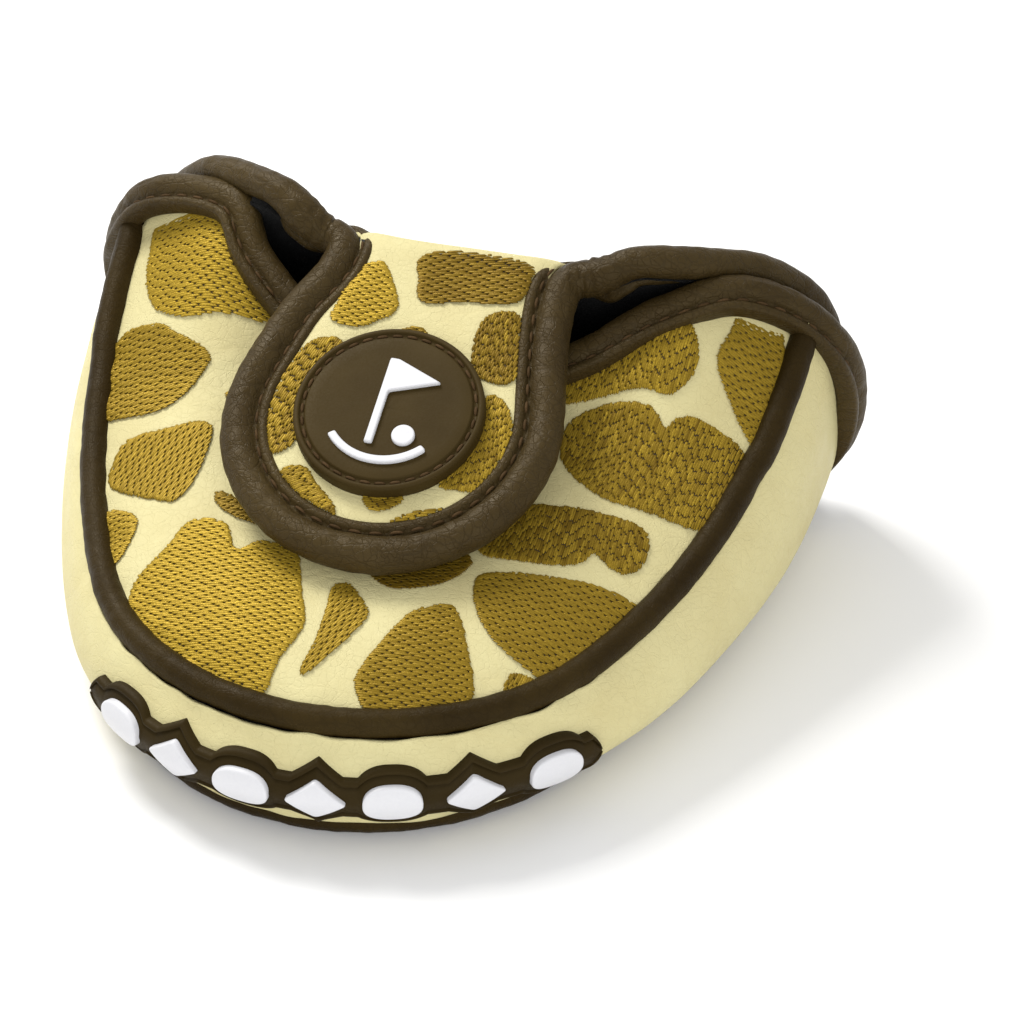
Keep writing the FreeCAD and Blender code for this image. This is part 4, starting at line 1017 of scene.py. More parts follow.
def raised_shape(loop, place, low, high, bevel, step):
    """A bevelled relief with this outline, as points and faces; place maps (across, up, lift) into space."""
    levels = [(0.0, low), (0.0, high - bevel), (0.3 * bevel, high - 0.3 * bevel), (bevel, high)]
    rings = [place(*inset_loop(loop, inset).T, lift) for inset, lift in levels]
    top, caps = fill_loop(inset_loop(loop, bevel * 1.02), step)
    cap_start = len(loop) * len(levels)
    faces = grid_faces(len(levels), len(loop), wrap=True)
    faces += [tuple(cap_start + corner for corner in face) for face in caps]
    last = len(loop) * (len(levels) - 1)
    count = len(loop)
    if len(top) >= count:
        for step_in in range(count):
            following = (step_in + 1) % count
            faces.append((last + step_in, last + following, cap_start + following, cap_start + step_in))
    return np.vstack(rings + [place(*top.T, high)]), faces


def joined(name, shapes, material):
    """Several (points, faces) shapes as one piece."""
    points, faces, start = [], [], 0
    for spots, corners in shapes:
        points.append(spots)
        faces += [tuple(start + corner for corner in face) for face in corners]
        start += len(spots)
    return new_piece(name, np.vstack(points), faces, material)


# ---------------------------------------------------------------- leather of flap and rear wall, in one sheet
WRAP_TOP = 58.6
LEATHER_LIFT, EDGE_PRESS, EDGE_WIDTH = 2.1, 1.75, 0.9
REAR_LINES = {1: spline(REAR_RIM_RIGHT, 160), -1: spline(REAR_RIM_LEFT, 160)}


def flap_fence(inset):
    """The flap's outline this far inside its binding's centre line, from right to left, as (x, reach)."""
    along = unit(np.gradient(FLAP_HALF, axis=0))
    half = FLAP_HALF + np.stack([-along[:, 1], along[:, 0]], axis=1) * inset
    half[:, 0] = np.maximum(half[:, 0], 0.0)
    right, left = [half + np.outer(neck_shift(side, half[:, 1]), (1, 0)) for side in (1, -1)]
    return np.vstack([right, (left * (-1, 1))[::-1][1:]])


def rear_fence(inset, low, high=99.0):
    """The rear wall's outline this far inside its binding, up the right edge and down the left, as (x, z)."""
    sides = []
    for line in REAR_LINES.values():
        line = line[::-1][:, [0, 2]]
        along = unit(np.gradient(line, axis=0))
        line = line + np.stack([-along[:, 1], along[:, 0]], axis=1) * inset
        sides.append(line[(line[:, 1] > low) & ((line[:, 1] < high) | (line[:, 0] > 26.5))])
    return np.vstack([sides[0], (sides[1] * (-1, 1))[::-1]])


def rim_pull(x, z):
    """How far the rear wall moves along Y so that its edge meets the middle of its rolled rim."""
    spots = np.stack([np.abs(x), z], axis=-1).reshape(-1, 2)
    on_left = np.ravel(x) < 0
    pull = np.zeros(len(spots))
    for side, line in REAR_LINES.items():
        chosen = np.flatnonzero(on_left == (side < 0))
        differ = line[:, 1] - rear_depth(line[:, 0], line[:, 2])
        for start in range(0, len(chosen), 4000):
            part = chosen[start:start + 4000]
            index, gap = nearest(spots[part], line[:, [0, 2]])
            back = np.maximum(differ[index], 0) * (1 - smooth_step(gap / 14))
            forward = np.minimum(differ[index], 0) * np.exp(-np.maximum(gap - 3.2, 0) / 1.2)
            pull[part] = back + forward - 1.3 * np.exp(-np.maximum(gap - 3.0, 0) / 1.0)
    return pull.reshape(np.shape(x))


def wall_surface(x, z):
    x, z = np.broadcast_arrays(np.asarray(x, float), z)
    plan = np.stack([x, z], axis=-1)
    soft = 0.30 * waves(plan, 30, 61)
    return np.stack([x, rear_depth(x, z) + WALL_HALF + rim_pull(x, z) + soft, z], axis=-1)


def wrap_surface(x, reach):
    """The leather's outer face: the flap where reach is positive, the rear wall where negative."""
    x, reach = np.broadcast_arrays(np.asarray(x, float), reach)
    plan = np.stack([x, reach], axis=-1)
    edge = flap_fence(3.4)
    gap = nearest(plan.reshape(-1, 2), edge)[1].reshape(x.shape)
    press = EDGE_PRESS * np.exp(-gap / EDGE_WIDTH)
    lift = LEATHER_LIFT - press + 0.10 * waves(plan, 16, 62)
    on_flap = flap_point(x, reach, lift)
    on_wall = wall_surface(x, WRAP_TOP + np.minimum(reach, 0.0))
    on_wall = on_wall + np.maximum(reach, 0.0)[..., None] * FLAP_DOWN
    on_wall[..., 2] -= press * smooth_step((reach + 3.0) / 3.0)
    share = smooth_step((reach + 3.0) / 6.5) * (1 - smooth_step((np.abs(x) - 17.0) / 5.0))
    share = np.maximum(share, smooth_step((reach - 2.0) / 3.0))
    return on_wall + (on_flap - on_wall) * share[..., None]


def make_wrap_leather():
    """Cream leather from the flap's tip over the fold and down the rear wall."""
    wall = rear_fence(2.9, 8.0, 54.4) - (0, WRAP_TOP)
    # near the neck the wall's edge goes further up under the roll, because the lip lies flatter there
    wall[:, 1] += 1.8 * np.exp(-(((np.abs(wall[:, 0]) - 26.0) / 4.5) ** 2))
    half = len(wall[wall[:, 0] > 0])
    foot = np.array([(54.0, 4.2 - WRAP_TOP), (57.0, 6.5 - WRAP_TOP)])
    flap = flap_fence(2.9)
    flap = flap[flap[:, 1] > -2.9]
    loop = np.vstack([foot, wall[:half], flap, wall[half:], (foot * (-1, 1))[::-1]])
    loop = even_loop(rounded_loop(even_loop(loop, 1.6), 1), 0.9)
    plan, faces = fill_loop(loop, 1.25)
    points = wrap_surface(*plan.T)
    piece = face_outwards(new_piece("flap_and_rear_leather", points, faces, CREAM))
    top = max(piece.data.polygons, key=lambda face: face.center.z)
    if top.normal.z < 0:
        piece.data.flip_normals()
    thicken(piece, LEATHER_THICK)
    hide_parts("flap_panel", "rear_panel")
    fold_blend(piece)


# ---------------------------------------------------------------- embroidery
# outlines of the spots on their own surfaces: top panel (x, y), flap (x, minus reach), rear wall (x, z)
PANEL_SPOTS = [
    [(-57, 47), (-55.5, 35), (-54, 29.5), (-51, 24.5), (-47, 22.2), (-43, 21.3), (-37.5, 22.5), (-29, 22.6),
     (-25, 26), (-31, 36), (-40, 46), (-50, 50)],
    [(-57, 22.5), (-49, 21.8), (-44.5, 19), (-37, 16), (-37.5, 13.5), (-39.5, 8.5), (-42.5, 5.5), (-47, 4.7),
     (-55, 5.2), (-57, 11)],
    [(-48.5, 0), (-45.5, 1), (-40.5, 1.5), (-35, 3.3), (-32.5, 2.2), (-31.9, -1), (-32, -9), (-34, -13.8),
     (-37.5, -13), (-45, -10.5), (-48.8, -8.5)],
    [(-48, -13), (-41.5, -15), (-39.5, -17), (-39.4, -21), (-40.8, -26.5), (-46, -23)],
    [(-31, -18.5), (-29, -17), (-24, -17.2), (-22.5, -19), (-20, -24.3), (-18, -21), (-16, -20), (-10, -20.8),
     (-8.5, -24), (-6.5, -30), (-3.7, -35.5), (-4, -39), (-6.2, -45), (-5.8, -51), (-20, -52), (-33, -43),
     (-36.2, -32.5), (-35.5, -28), (-32.5, -24)],
    [(-2, -27.5), (-0.5, -26.2), (1.5, -26.5), (3.5, -29), (6.2, -32), (5.5, -35), (2.5, -41), (-1, -46.5),
     (-2, -45.5), (-0.8, -40), (-1.2, -32)],
    [(12.5, -30), (15, -28.5), (18, -26.5), (20.3, -28), (23, -33), (28, -43), (21, -50), (12, -51),
     (7.5, -46.5), (7.5, -43), (10.5, -35)],
    [(20, -19), (26, -17), (34, -15), (40, -13.2), (50, -13.5), (46, -24), (38, -35), (36, -34), (31, -32.8),
     (26, -30.5), (22, -26)],
    [(30.5, -38), (30.8, -35.5), (32.5, -34), (37, -35), (33, -41)],
    [(23, -4), (25.5, -2.5), (30, -2), (37, -1), (44, -0.2), (45.8, -2), (46, -6), (44.5, -9), (41, -9.8),
     (37.5, -7.5), (37, -10), (34, -12.5), (26, -14.5), (19, -14.8), (17, -9)],
    [(26.5, 15), (30, 18), (35, 19.5), (40, 19.5), (41.8, 18.5), (43, 16.5), (44.5, 19.5), (49, 21),
     (58, 20.5), (57, 12), (54, 3.5), (44, 2.5), (37, 1.5), (32, 3.5), (27.5, 7.5), (26.5, 11)],
    [(20, 23), (26, 26), (34, 32), (40, 35), (45.5, 31), (46, 26), (42.5, 21.2), (39, 22), (36, 21.5),
     (30, 19.5), (24, 17.8), (19, 18)],
    [(68, 50), (49, 48), (50, 36.5), (48.5, 32), (48.5, 29.3), (52, 26), (55.6, 22.5), (66, 17)],
    [(2, -22.5), (6, -25.4), (9, -25.8), (15, -23.5), (18.5, -19.5), (19.5, -15.5), (14, -14), (6, -18)],
    [(-28, -11), (-26, -10.7), (-20, -14), (-17, -17), (-23, -16), (-27, -13.5)],
    [(-33, 10), (-27, 11), (-27, 7.5), (-32.8, 8.3)],
]
FLAP_SPOTS = [
    [(-13.9, -6.1), (-10.1, -4.8), (-9.2, -5.1), (-6.4, -9.5), (-4.7, -12.9), (-5, -14.8), (-7.9, -17),
     (-10.4, -18.8), (-15.9, -18.3), (-15.6, -15.8), (-14.8, -11.4)],
    [(-11.1, -21.4), (-15.4, -21.4), (-17, -22.6), (-18.6, -24.5), (-19.8, -28.3), (-20.4, -32), (-20.6, -37),
     (-20.1, -41.4), (-18.9, -45.1), (-17, -46.3), (-14.2, -43.3), (-12, -34)],
    [(-16.4, -49.2), (-12.6, -47.3), (-10.4, -47.9), (-8.9, -50.1), (-4.5, -53.6), (-3.3, -55.9), (-7, -55.1),
     (-11.4, -53.6)],
    [(-4.5, -3.3), (-2, -1.3), (3, -0.6), (16.2, -0.6), (16.4, -3.9), (15.8, -8.4), (11.8, -9.8),
     (4.9, -10.1), (1.8, -11.4), (-0.8, -11.7), (-2.3, -10.8), (-2.9, -7)],
    [(11.1, -11.4), (16, -10.1), (17.4, -13.9), (18.6, -20.1), (19, -23.3), (17.4, -25.4), (13.6, -24.8),
     (11.1, -24.2), (10, -19.5), (9.8, -14.5)],
    [(14.9, -27.1), (18, -27.9), (20.6, -32), (21.8, -35.8), (21.6, -40.8), (20, -45.1), (18.8, -46.5),
     (15.5, -46.7), (11.1, -47.5), (12.5, -40), (13, -33)],
    [(-3.9, -18.3), (-1.4, -16.7), (0.8, -16.7), (2.1, -18.1), (1, -20), (-3, -20)],
    [(-0.8, -50.5), (1.1, -53.6), (3.6, -53.4), (5.8, -52), (7, -50), (4, -49)],
    [(4.3, -55.8), (8, -52.9), (11.8, -51.1), (15.2, -50.1), (11.8, -53.6), (8, -55.1)],
]
REAR_SPOTS = [
    [(-50, 38), (-40, 44), (-30, 42), (-27, 32), (-36, 25), (-48, 27)],
    [(-20, 46), (-6, 48), (2, 42), (-2, 33), (-14, 31), (-21, 38)],
    [(12, 49), (20, 50), (30, 46), (32, 36), (22, 31), (11, 36)],
    [(42, 44), (50, 40), (54, 30), (46, 24), (39, 30), (38, 40)],
    [(-54, 19), (-42, 18), (-36, 12), (-44, 8), (-53, 10)],
    [(-28, 22), (-16, 25), (-6, 20), (-9, 11), (-24, 9)],
    [(2, 26), (14, 27), (22, 20), (16, 11), (4, 13)],
    [(30, 19), (42, 20), (52, 16), (50, 9), (34, 9)],
]
# each spot's thread direction in degrees, its value from olive to bright, which is painted reflection for the
# light that spot's threads catch, and its stitch length
PANEL_THREADS = [
    (0, 1.0, 3.5), (20, 0.55, 3.5), (70, 0.60, 3.3), (20, 0.75, 3.3), (0, 0.95, 3.5), (60, 0.60, 3.2),
    (10, 0.46, 3.4), (-5, 0.47, 3.5), (80, 0.45, 2.4), (90, 0.32, 2.3), (80, 0.46, 2.3), (85, 0.60, 2.3),
    (0, 0.65, 3.0), (0, 0.10, 3.0), (20, 0.20, 3.0), (0, 0.4, 3.0),
]
FLAP_THREADS = [
    (0, 0.85, 3.2), (75, 0.46, 2.4), (30, 0.5, 2.6), (10, 0.12, 3.2), (85, 0.15, 2.2),
    (85, 0.56, 2.2), (0, 0.2, 2.6), (0, 0.5, 2.4), (20, 0.5, 2.4),
]
REAR_THREADS = [(15 * step % 90, 0.55 + 0.05 * (step % 4), 3.2) for step in range(8)]
ROW_SPACING = 0.36
LONG_STITCH = 2.7   # shorter stitches are set more at random
STITCH_PLACE = np.array([0.0, 0.06, 0.14, 0.5, 0.86, 0.94, 1.0])
STITCH_GIRTH = np.array([0.12, 0.52, 0.92, 1.0, 0.92, 0.52, 0.12])
STITCH_RISE = np.array([0.10, 0.28, 0.36, 0.38, 0.36, 0.28, 0.10])


def stitch_rows(loop, angle, pitch, dice):
    """Ends of the stitches that fill an outline; each row's stitches are set off against the last row's."""
    turn = math.radians(angle)
    along = np.array([math.cos(turn), math.sin(turn)])
    across = np.array([-math.sin(turn), math.cos(turn)])
    u, v = loop @ along, loop @ across
    u_next, v_next = np.roll(u, -1), np.roll(v, -1)
    found = []
    for row, level in enumerate(np.arange(v.min() + ROW_SPACING / 2, v.max(), ROW_SPACING)):
        crossed = (v > level) != (v_next > level)
        hits = np.sort((u + (level - v) * (u_next - u) / np.where(v_next == v, 1, v_next - v))[crossed])
        for first, last in zip(hits[::2], hits[1::2]):
            first, last = first - dice.uniform(0, 0.3), last + dice.uniform(0, 0.3)
            slip = dice.uniform(-0.03, 0.03) * (1 if pitch > LONG_STITCH else 12)
            offset = ((0, 0.5, 0.25, 0.75)[row % 4] + slip) * pitch
            cuts = np.arange(math.floor((first - offset) / pitch) * pitch + offset, last, pitch)
            cuts = [first] + [cut for cut in cuts if first + 0.6 < cut < last - 0.6] + [last]
            level_here = level + dice.normal(0, 0.02)
            for start, end in zip(cuts[:-1], cuts[1:]):
                found.append((along * start + across * level_here, along * end + across * level_here))
    ends = np.array(found)
    return ends[:, 0], ends[:, 1]


def surface_normal(surface, a, b, facing):
    step = 0.3
    across = surface(a + step, b) - surface(a - step, b)
    along = surface(a, b + step) - surface(a, b - step)
    return unit(np.cross(across, along)) * facing


def thread_piece(name, surface, facing, starts, ends, sheen_and_tones):
    """All the stitches of one area: slim capsules lying on a surface of two parameters."""
    sides = 6
    turn = full_turn(sides)
    spots = starts[:, None, :] + (ends - starts)[:, None, :] * STITCH_PLACE[None, :, None]
    skin = surface(spots[..., 0], spots[..., 1])
    normal = surface_normal(surface, spots[..., 0], spots[..., 1], facing)
    centre = skin + normal * STITCH_RISE[None, :, None]
    along = unit(skin[:, -1:] - skin[:, :1])
    side = unit(np.cross(np.broadcast_to(along, normal.shape), normal))
    wide = np.cos(turn)[None, None, :, None] * (0.25 * STITCH_GIRTH)[None, :, None, None]
    tall = np.sin(turn)[None, None, :, None] * (0.06 * STITCH_GIRTH)[None, :, None, None]
    points = centre[:, :, None, :] + side[:, :, None, :] * wide + normal[:, :, None, :] * tall
    rings = len(STITCH_PLACE)
    one = np.array(grid_faces(rings, sides, wrap=True))
    size = rings * sides
    starts_at = (np.arange(len(starts)) * size)[:, None, None]
    faces = (one[None] + starts_at).reshape(-1, 4).tolist()
    for cap in (range(sides - 1, -1, -1), range(size - sides, size)):
        faces += (np.array(cap)[None, :] + starts_at[:, 0]).tolist()
    piece = new_piece(name, points.reshape(-1, 3), faces, GOLD, np.repeat(sheen_and_tones, size))
    return face_outwards(piece)


def underlay_shape(loop, surface, facing):
    """The raised felt under a spot: its edge goes down into the leather."""
    inner = inset_loop(loop, 0.35)
    plan, faces = fill_loop(inner, 1.3)
    count = len(loop)
    everything = np.vstack([loop, plan])
    lift = np.r_[np.full(count, -0.3), np.full(len(plan), 0.20)]
    skin = surface(everything[:, 0], everything[:, 1])
    normal = surface_normal(surface, everything[:, 0], everything[:, 1], facing)
    corners = [tuple(count + corner for corner in face) for face in faces]
    for step in range(count):
        following = (step + 1) % count
        corners.append((step, following, count + following, count + step))
    return skin + normal * lift[:, None], corners


def embroider(name, spots, threads, fence, surface, facing, seed, skip=None):
    """Raised embroidered spots on a surface: a felt underlay and rows of single stitches."""
    dice = np.random.default_rng(seed)
    shapes, starts, ends, sheen_and_tones = [], [], [], []
    for spot, (angle, sheen_and_tone, pitch) in zip(spots, threads):
        loop = even_loop(rounded_loop(spot, 3), 0.7)
        loop = even_loop(keep_inside(loop, fence), 0.7)
        shapes.append(underlay_shape(loop, surface, facing))
        first, last = stitch_rows(loop, angle, pitch, dice)
        if skip is not None:
            kept = ~(skip(first) & skip(last))
            first, last = first[kept], last[kept]
        starts.append(first)
        ends.append(last)
        # the values differ at random between stitches; the wider spread in short-stitch spots also stands for
        # their sparkle, as painted glints
        spread = 0.06 if pitch > LONG_STITCH else 0.2
        sheen_and_tones.append(np.clip(sheen_and_tone + dice.normal(0, spread, len(first)), 0.02, 1.0))
    # the felt's dark colour is painted shade in the slits between the stitches
    felt = joined(f"{name}_felt", shapes, SHADED_UNDERLAY)
    stitched = thread_piece(
        f"{name}_stitches", surface, facing, np.vstack(starts), np.vstack(ends), np.concatenate(sheen_and_tones)
    )
    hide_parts(name)
    return felt, stitched


def make_embroidery():
    seam = outline_point(np.linspace(0.0, -math.pi, 300), -1.3)
    fence = even_loop(np.vstack([seam[seam[:, 1] < 38], mouth_edge(-1.5, 57)]), 0.5)
    for piece in embroider("top_embroidery", PANEL_SPOTS, PANEL_THREADS, fence, top_surface, 1, 71):
        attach(piece, "cover")
    flap_edge = flap_fence(5.2)
    flap_edge = flap_edge[flap_edge[:, 1] > -1.0]
    fence = even_loop(flap_edge * (1, -1), 0.4)

    def on_flap(x, y):
        return wrap_surface(x, -y)

    def under_badge(spots):
        return np.hypot(spots[:, 0], spots[:, 1] + FLAP_REACH) < BADGE_RADIUS - 1.0

    for piece in embroider("flap_embroidery", FLAP_SPOTS, FLAP_THREADS, fence, on_flap, 1, 72, under_badge):
        fold_blend(piece)
    fence = even_loop(rear_fence(5.2, 7.0), 0.5)
    for piece in embroider("rear_embroidery", REAR_SPOTS, REAR_THREADS, fence, wall_surface, -1, 73):
        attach(piece, "cover")


# ---------------------------------------------------------------- badge
BADGE_RADIUS, BADGE_THICK, BADGE_LIFT = 16.2, 2.8, 2.15
GROOVE_RADIUS = 14.7


def badge_place(x, y, lift):
    """A point on the badge from its place about the badge's middle and its height above the leather."""
    return flap_point(x, FLAP_REACH - y, BADGE_LIFT + lift)


def make_badge():
    top = BADGE_THICK
    profile = [
        (0.02, top), (4, top), (8, top), (12, top), (13.9, top), (14.12, top - 0.08), (14.25, top - 0.35),
        (14.4, top - 0.55), (15.0, top - 0.55), (15.12, top - 0.35), (15.22, top - 0.10), (15.4, top),
        (15.75, top - 0.03), (16.0, top - 0.16), (16.15, top - 0.4), (16.2, top - 0.7), (16.22, 1.2),
        (16.2, 0.3), (16.1, 0.0), (8, -0.05), (0.02, -0.05),
    ]
    sides = 220
    turn = full_turn(sides)
    rings = []
    for radius, lift in profile:
        uneven = 0.015 * np.sin(turn * 7 + radius)
        rings.append(badge_place(radius * np.cos(turn), radius * np.sin(turn), lift + uneven))
    faces = grid_faces(len(profile), sides, wrap=True)
    piece = face_outwards(new_piece("badge_rubber", np.vstack(rings), faces, RUBBER))
    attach(piece, "flap")
    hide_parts("badge_base")
    stitch_count = 36
    turn = full_turn(stitch_count)
    middles = badge_place(GROOVE_RADIUS * np.cos(turn), GROOVE_RADIUS * np.sin(turn), top - 0.42)
    along = -np.sin(turn)[:, None] * (1, 0, 0) - np.cos(turn)[:, None] * FLAP_DOWN
    normals = np.tile(FLAP_FACE, (stitch_count, 1))
    stitches("badge_seam", middles, along, normals, length=2.0, width=0.6, replaced=["badge_stitches"],
             body="flap", sag=0.12)


def make_emblem():
    """The same generic golf motif as in the CAD, with rounded edges: a flag, the ground and a ball."""
    flag = [(-2.2, -7.5), (-0.8, -7.5), (-0.8, 3.0), (7.6, 6.2), (-0.6, 9.5), (-2.2, 9.5)]
    sweep_turn = np.radians(np.linspace(-140, -40, 60))
    arc = np.vstack([
        np.stack([11.2 * np.cos(sweep_turn), 11.2 * np.sin(sweep_turn)], axis=1),
        np.stack([9.8 * np.cos(sweep_turn), 9.8 * np.sin(sweep_turn)], axis=1)[::-1],
    ])
    turn = np.linspace(0, 2 * math.pi, 48, endpoint=False)
    ball = np.stack([4 + 2.0 * np.cos(turn), -5 + 2.0 * np.sin(turn)], axis=1)
    top = BADGE_THICK
    shapes = []
    for outline in (flag, arc, ball):
        loop = even_loop(rounded_loop(even_loop(np.array(outline, float), 0.5), 2), 0.22)
        shapes.append(raised_shape(loop, badge_place, top - 0.2, top + 0.72, bevel=0.28, step=1.2))
    piece = face_outwards(joined("badge_golf_motif", shapes, WHITE))
    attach(piece, "flap")
    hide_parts("badge_emblem")


# ---------------------------------------------------------------- rubber strip on the gusset
STRIP_ARC = APEX + BULGE
STRIP_MIDDLE, STRIP_THICK = 11.6, 2.5
STRIP_ENDS = [math.radians(-135.0 + 90.0) * STRIP_ARC, math.radians(-33.0 + 90.0) * STRIP_ARC]
MARK_TURNS = [-42.5, -57.5, -71.5, -84.5, -97.5, -111.0, -124.5]
MARK_PLACES = [math.radians(turn + 90.0) * STRIP_ARC for turn in MARK_TURNS]
DISC_HALF, DISC_WIDE, DIAMOND_HALF, DIAMOND_WIDE = 3.3, 4.7, 3.8, 5.0


def strip_place(run, height, lift):
    """A point on the gusset from its run along the front, its height and its lift off the leather."""
    run, height, lift = np.broadcast_arrays(np.asarray(run, float), height, lift)
    angle = run / STRIP_ARC - math.pi / 2
    head = piping_height(outline_point(angle)[..., 1]) - SEAM_CLEAR
    share = (height - BASE_DEEP) / (head - BASE_DEEP)
    points, dent = soft_gusset(angle, share)
    return points + outward(angle) * (lift + dent)[..., None]


def strip_half_height(run):
    """The strip's contour follows each mark, with a waist between them."""
    half = np.full(run.shape, 3.7)
    for index, place in enumerate(MARK_PLACES):
        away = np.abs(run - place)
        if index % 2:
            round_mark = np.where(away < DIAMOND_WIDE + 1.9, 6.3 - 0.62 * away, 0)
        else:
            wide = DISC_WIDE + 1.9
            round_mark = 5.6 * np.clip(1 - (away / wide) ** 2.6, 0, None) ** 0.42
        half = np.maximum(half, round_mark)
    from_end = np.minimum(run - STRIP_ENDS[0], STRIP_ENDS[1] - run)
    return half * np.sqrt(np.clip(from_end / 1.6, 0.02, 1))


def make_strip():
    runs = np.linspace(STRIP_ENDS[0], STRIP_ENDS[1], 420)
    half = strip_half_height(runs)
    # up one side of the strip: inset from the edge and lift, with a groove inside the rounded rim
    edge = [
        (0.0, -0.1), (0.0, STRIP_THICK - 0.45), (0.14, STRIP_THICK - 0.12), (0.4, STRIP_THICK),
        (0.72, STRIP_THICK), (0.9, STRIP_THICK - 0.75), (1.15, STRIP_THICK - 0.8), (1.4, STRIP_THICK - 0.22),
    ]
    rows = [(-1, inset, lift) for inset, lift in edge] + [(0, 0, STRIP_THICK - 0.22)]
    rows += [(1, inset, lift) for inset, lift in reversed(edge)]
    lifts = np.array([lift for _, _, lift in rows])
    rings = []
    for run, reach in zip(runs, half):
        up = [side * reach - math.copysign(min(inset, reach * 0.5), side) for side, inset, _ in rows]
        rings.append(strip_place(run, STRIP_MIDDLE + np.array(up), lifts))
    faces = grid_faces(len(runs), len(rows), wrap=True)
    faces.append(tuple(range(len(rows))))
    faces.append(tuple((len(runs) - 1) * len(rows) + step for step in range(len(rows))))
    piece = face_outwards(new_piece("front_strip_rubber", np.vstack(rings), faces, DARK_RUBBER))
    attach(piece, "cover")
    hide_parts("strip_base")
    low, high = STRIP_THICK - 0.4, STRIP_THICK + 0.75
    shapes = []
    for index, place in enumerate(MARK_PLACES):
        if index % 2:
            outline = [(DIAMOND_WIDE, 0), (0, DIAMOND_HALF), (-DIAMOND_WIDE, 0), (0, -DIAMOND_HALF)]
            outline = rounded_loop(even_loop(np.array(outline, float), 0.9), 2)
        else:
            turn = np.linspace(0, 2 * math.pi, 60, endpoint=False)
            outline = np.stack([
                DISC_WIDE * np.sign(np.cos(turn)) * np.abs(np.cos(turn)) ** 0.8,
                DISC_HALF * np.sign(np.sin(turn)) * np.abs(np.sin(turn)) ** 0.8,
            ], axis=1)
        loop = even_loop(rounded_loop(outline, 1), 0.3) + (place, STRIP_MIDDLE)
        shapes.append(raised_shape(loop, strip_place, low, high, bevel=0.3, step=1.2))
    marks = face_outwards(joined("front_strip_marks", shapes, WHITE))
    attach(marks, "cover")
    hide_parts("strip_motifs")


# ---------------------------------------------------------------- linings and base
LINING_DEPTH, PLUSH_THICK = 4.7, 0.7


def plush_sheet(name, points, faces, inwards, replaced, body="cover"):
    """A lining with its face turned to the given direction."""
    piece = face_outwards(new_piece(name, points, faces, PLUSH))
    middle = piece.data.polygons[len(piece.data.polygons) // 2]
    if middle.normal.dot(Vector(inwards)) < 0:
        piece.data.flip_normals()
    thicken(piece, PLUSH_THICK)
    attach(piece, body)
    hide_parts(replaced)


def make_top_lining():
    seam = outline_point(np.linspace(0.0, -math.pi, 200), -2.0)
    loop = even_loop(np.vstack([seam[seam[:, 1] < 40], mouth_edge(0.4, 57)]), 1.5)
    plan, faces = fill_loop(loop, 2.0)
    depth = LINING_DEPTH * smooth_step(inset_distance(*plan.T) / 5 + 0.3)
    depth = depth - 0.35 * waves(plan, 5, 81)
    points = np.column_stack([plan, panel_height(*plan.T) - depth])
    plush_sheet("top_plush", points, faces, (0, 0, -1), "top_lining")


def make_gusset_lining():
    runs = np.linspace(0.04, -math.pi - 0.04, 200)
    run, share = np.meshgrid(runs, np.linspace(0.0, 1.0, 16), indexing="ij")
    skin = gusset_surface(run, share)
    normal = outward(np.clip(run, -math.pi, 0))
    skin = skin - normal * (LINING_DEPTH + 0.3 * waves(skin, 5, 82))[..., None]
    skin[..., 1] = np.minimum(skin[..., 1], rim_limit(skin, -1.5))
    plush_sheet("gusset_plush", skin.reshape(-1, 3), grid_faces(*run.shape), (0, 1, 0), "gusset_lining")


def make_rear_lining():
    loop = even_loop(rear_fence(2.6, 6.0), 1.5)
    plan, faces = fill_loop(loop, 2.0)
    points = wall_surface(*plan.T)
    points[:, 1] = np.minimum(points[:, 1] - LINING_DEPTH, rear_depth(*plan.T) - 1.9)
    points[:, 1] -= 0.25 * np.abs(waves(plan, 5, 83))
    plush_sheet("rear_plush", points, faces, (0, -1, 0), "rear_lining")


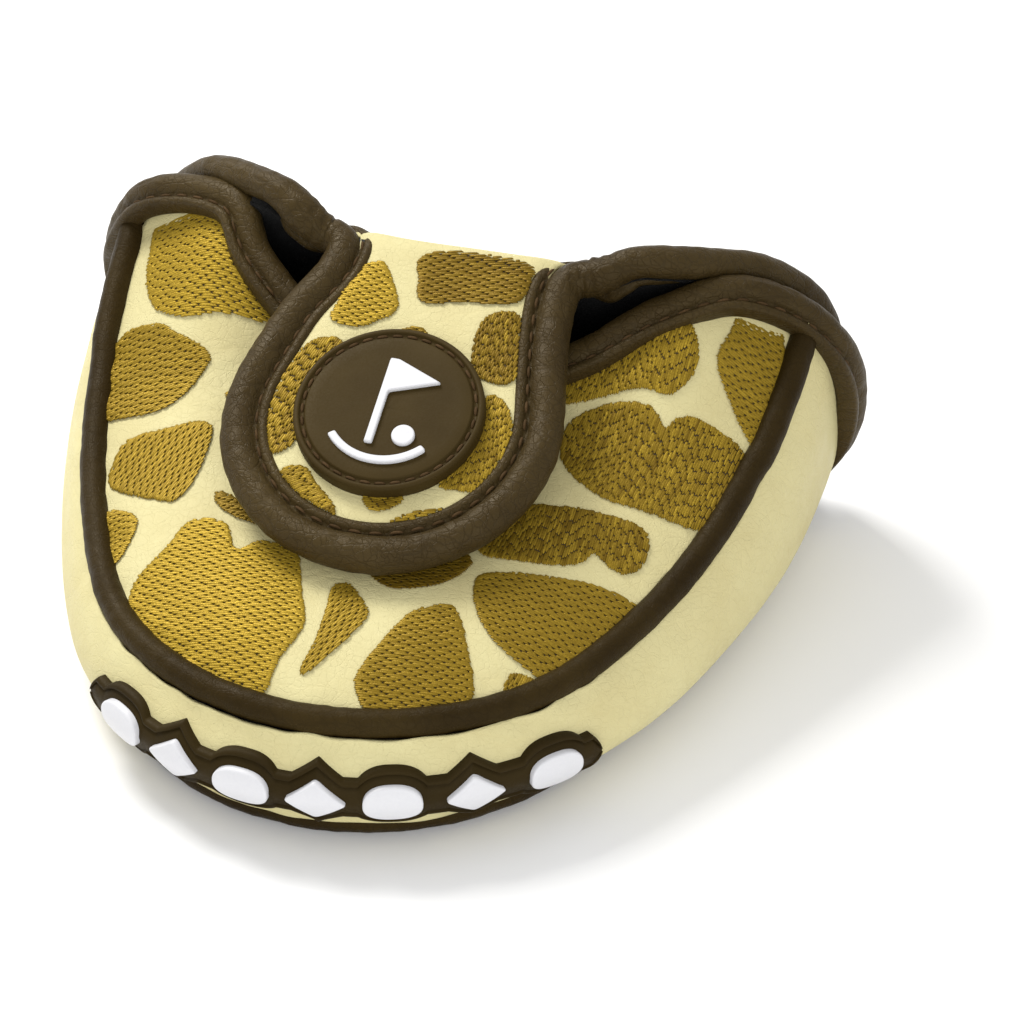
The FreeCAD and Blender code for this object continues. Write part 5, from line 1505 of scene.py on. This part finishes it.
def make_base():
    """The bottom's lining and the leather under it."""
    angles = np.linspace(0, -math.pi, 160)
    seam = outline_point(angles, base_offset(angles) - 2.6)
    right_foot, left_foot = seam[0, 0], seam[-1, 0]
    loop = even_loop(np.vstack([(right_foot, 54.5), seam, (left_foot, 54.5)]), 1.5)
    plan, faces = fill_loop(loop, 2.2)
    points = np.column_stack([plan, 5.4 + 0.3 * waves(plan, 5, 84)])
    plush_sheet("base_plush", points, faces, (0, 0, 1), "bottom_lining")
    seam = seam + unit(seam - (0, 5)) * 0.8
    loop = even_loop(np.vstack([(right_foot + 0.8, 56.0), seam, (left_foot - 0.8, 56.0)]), 1.2)
    plan, faces = fill_loop(loop, 1.6)
    hollow = 0.45 + 0.22 * waves(plan, 24, 85) + 0.10 * waves(plan, 6, 86)
    points = np.column_stack([plan, np.clip(hollow, 0.02, None)])
    base = face_outwards(new_piece("base_leather", points, faces, CREAM))
    if base.data.polygons[0].normal.z > 0:
        base.data.flip_normals()
    thicken(base, LEATHER_THICK)
    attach(base, "cover")
    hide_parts("bottom_panel")


def make_flap_lining():
    flap = flap_fence(3.0)
    loop = even_loop(flap[flap[:, 1] > -2.0], 1.2)
    plan, faces = fill_loop(loop, 1.6)
    points = flap_point(*plan.T, -1.75 - 0.12 * waves(plan, 4, 87))
    plush_sheet("flap_plush", points, faces, -FLAP_FACE, "flap_lining", "flap")


def repaint(material, *names):
    """Give CAD parts that stay in the picture, or inside it, their material."""
    for name in names:
        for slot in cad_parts[name].material_slots:
            slot.link = "OBJECT"
            slot.material = material


make_top_panel()
make_gusset()
make_pipings()
make_front_binding()
make_flap_binding()
make_wrap_leather()
make_embroidery()
make_badge()
make_emblem()
make_strip()
make_top_lining()
make_gusset_lining()
make_rear_lining()
make_base()
make_flap_lining()
repaint(FOAM, "top_foam", "gusset_foam", "rear_foam", "bottom_foam", "flap_board")
repaint(NICKEL, "panel_magnet", "flap_magnet")
repaint(POUCH, "panel_magnet_pouch", "flap_magnet_pouch")
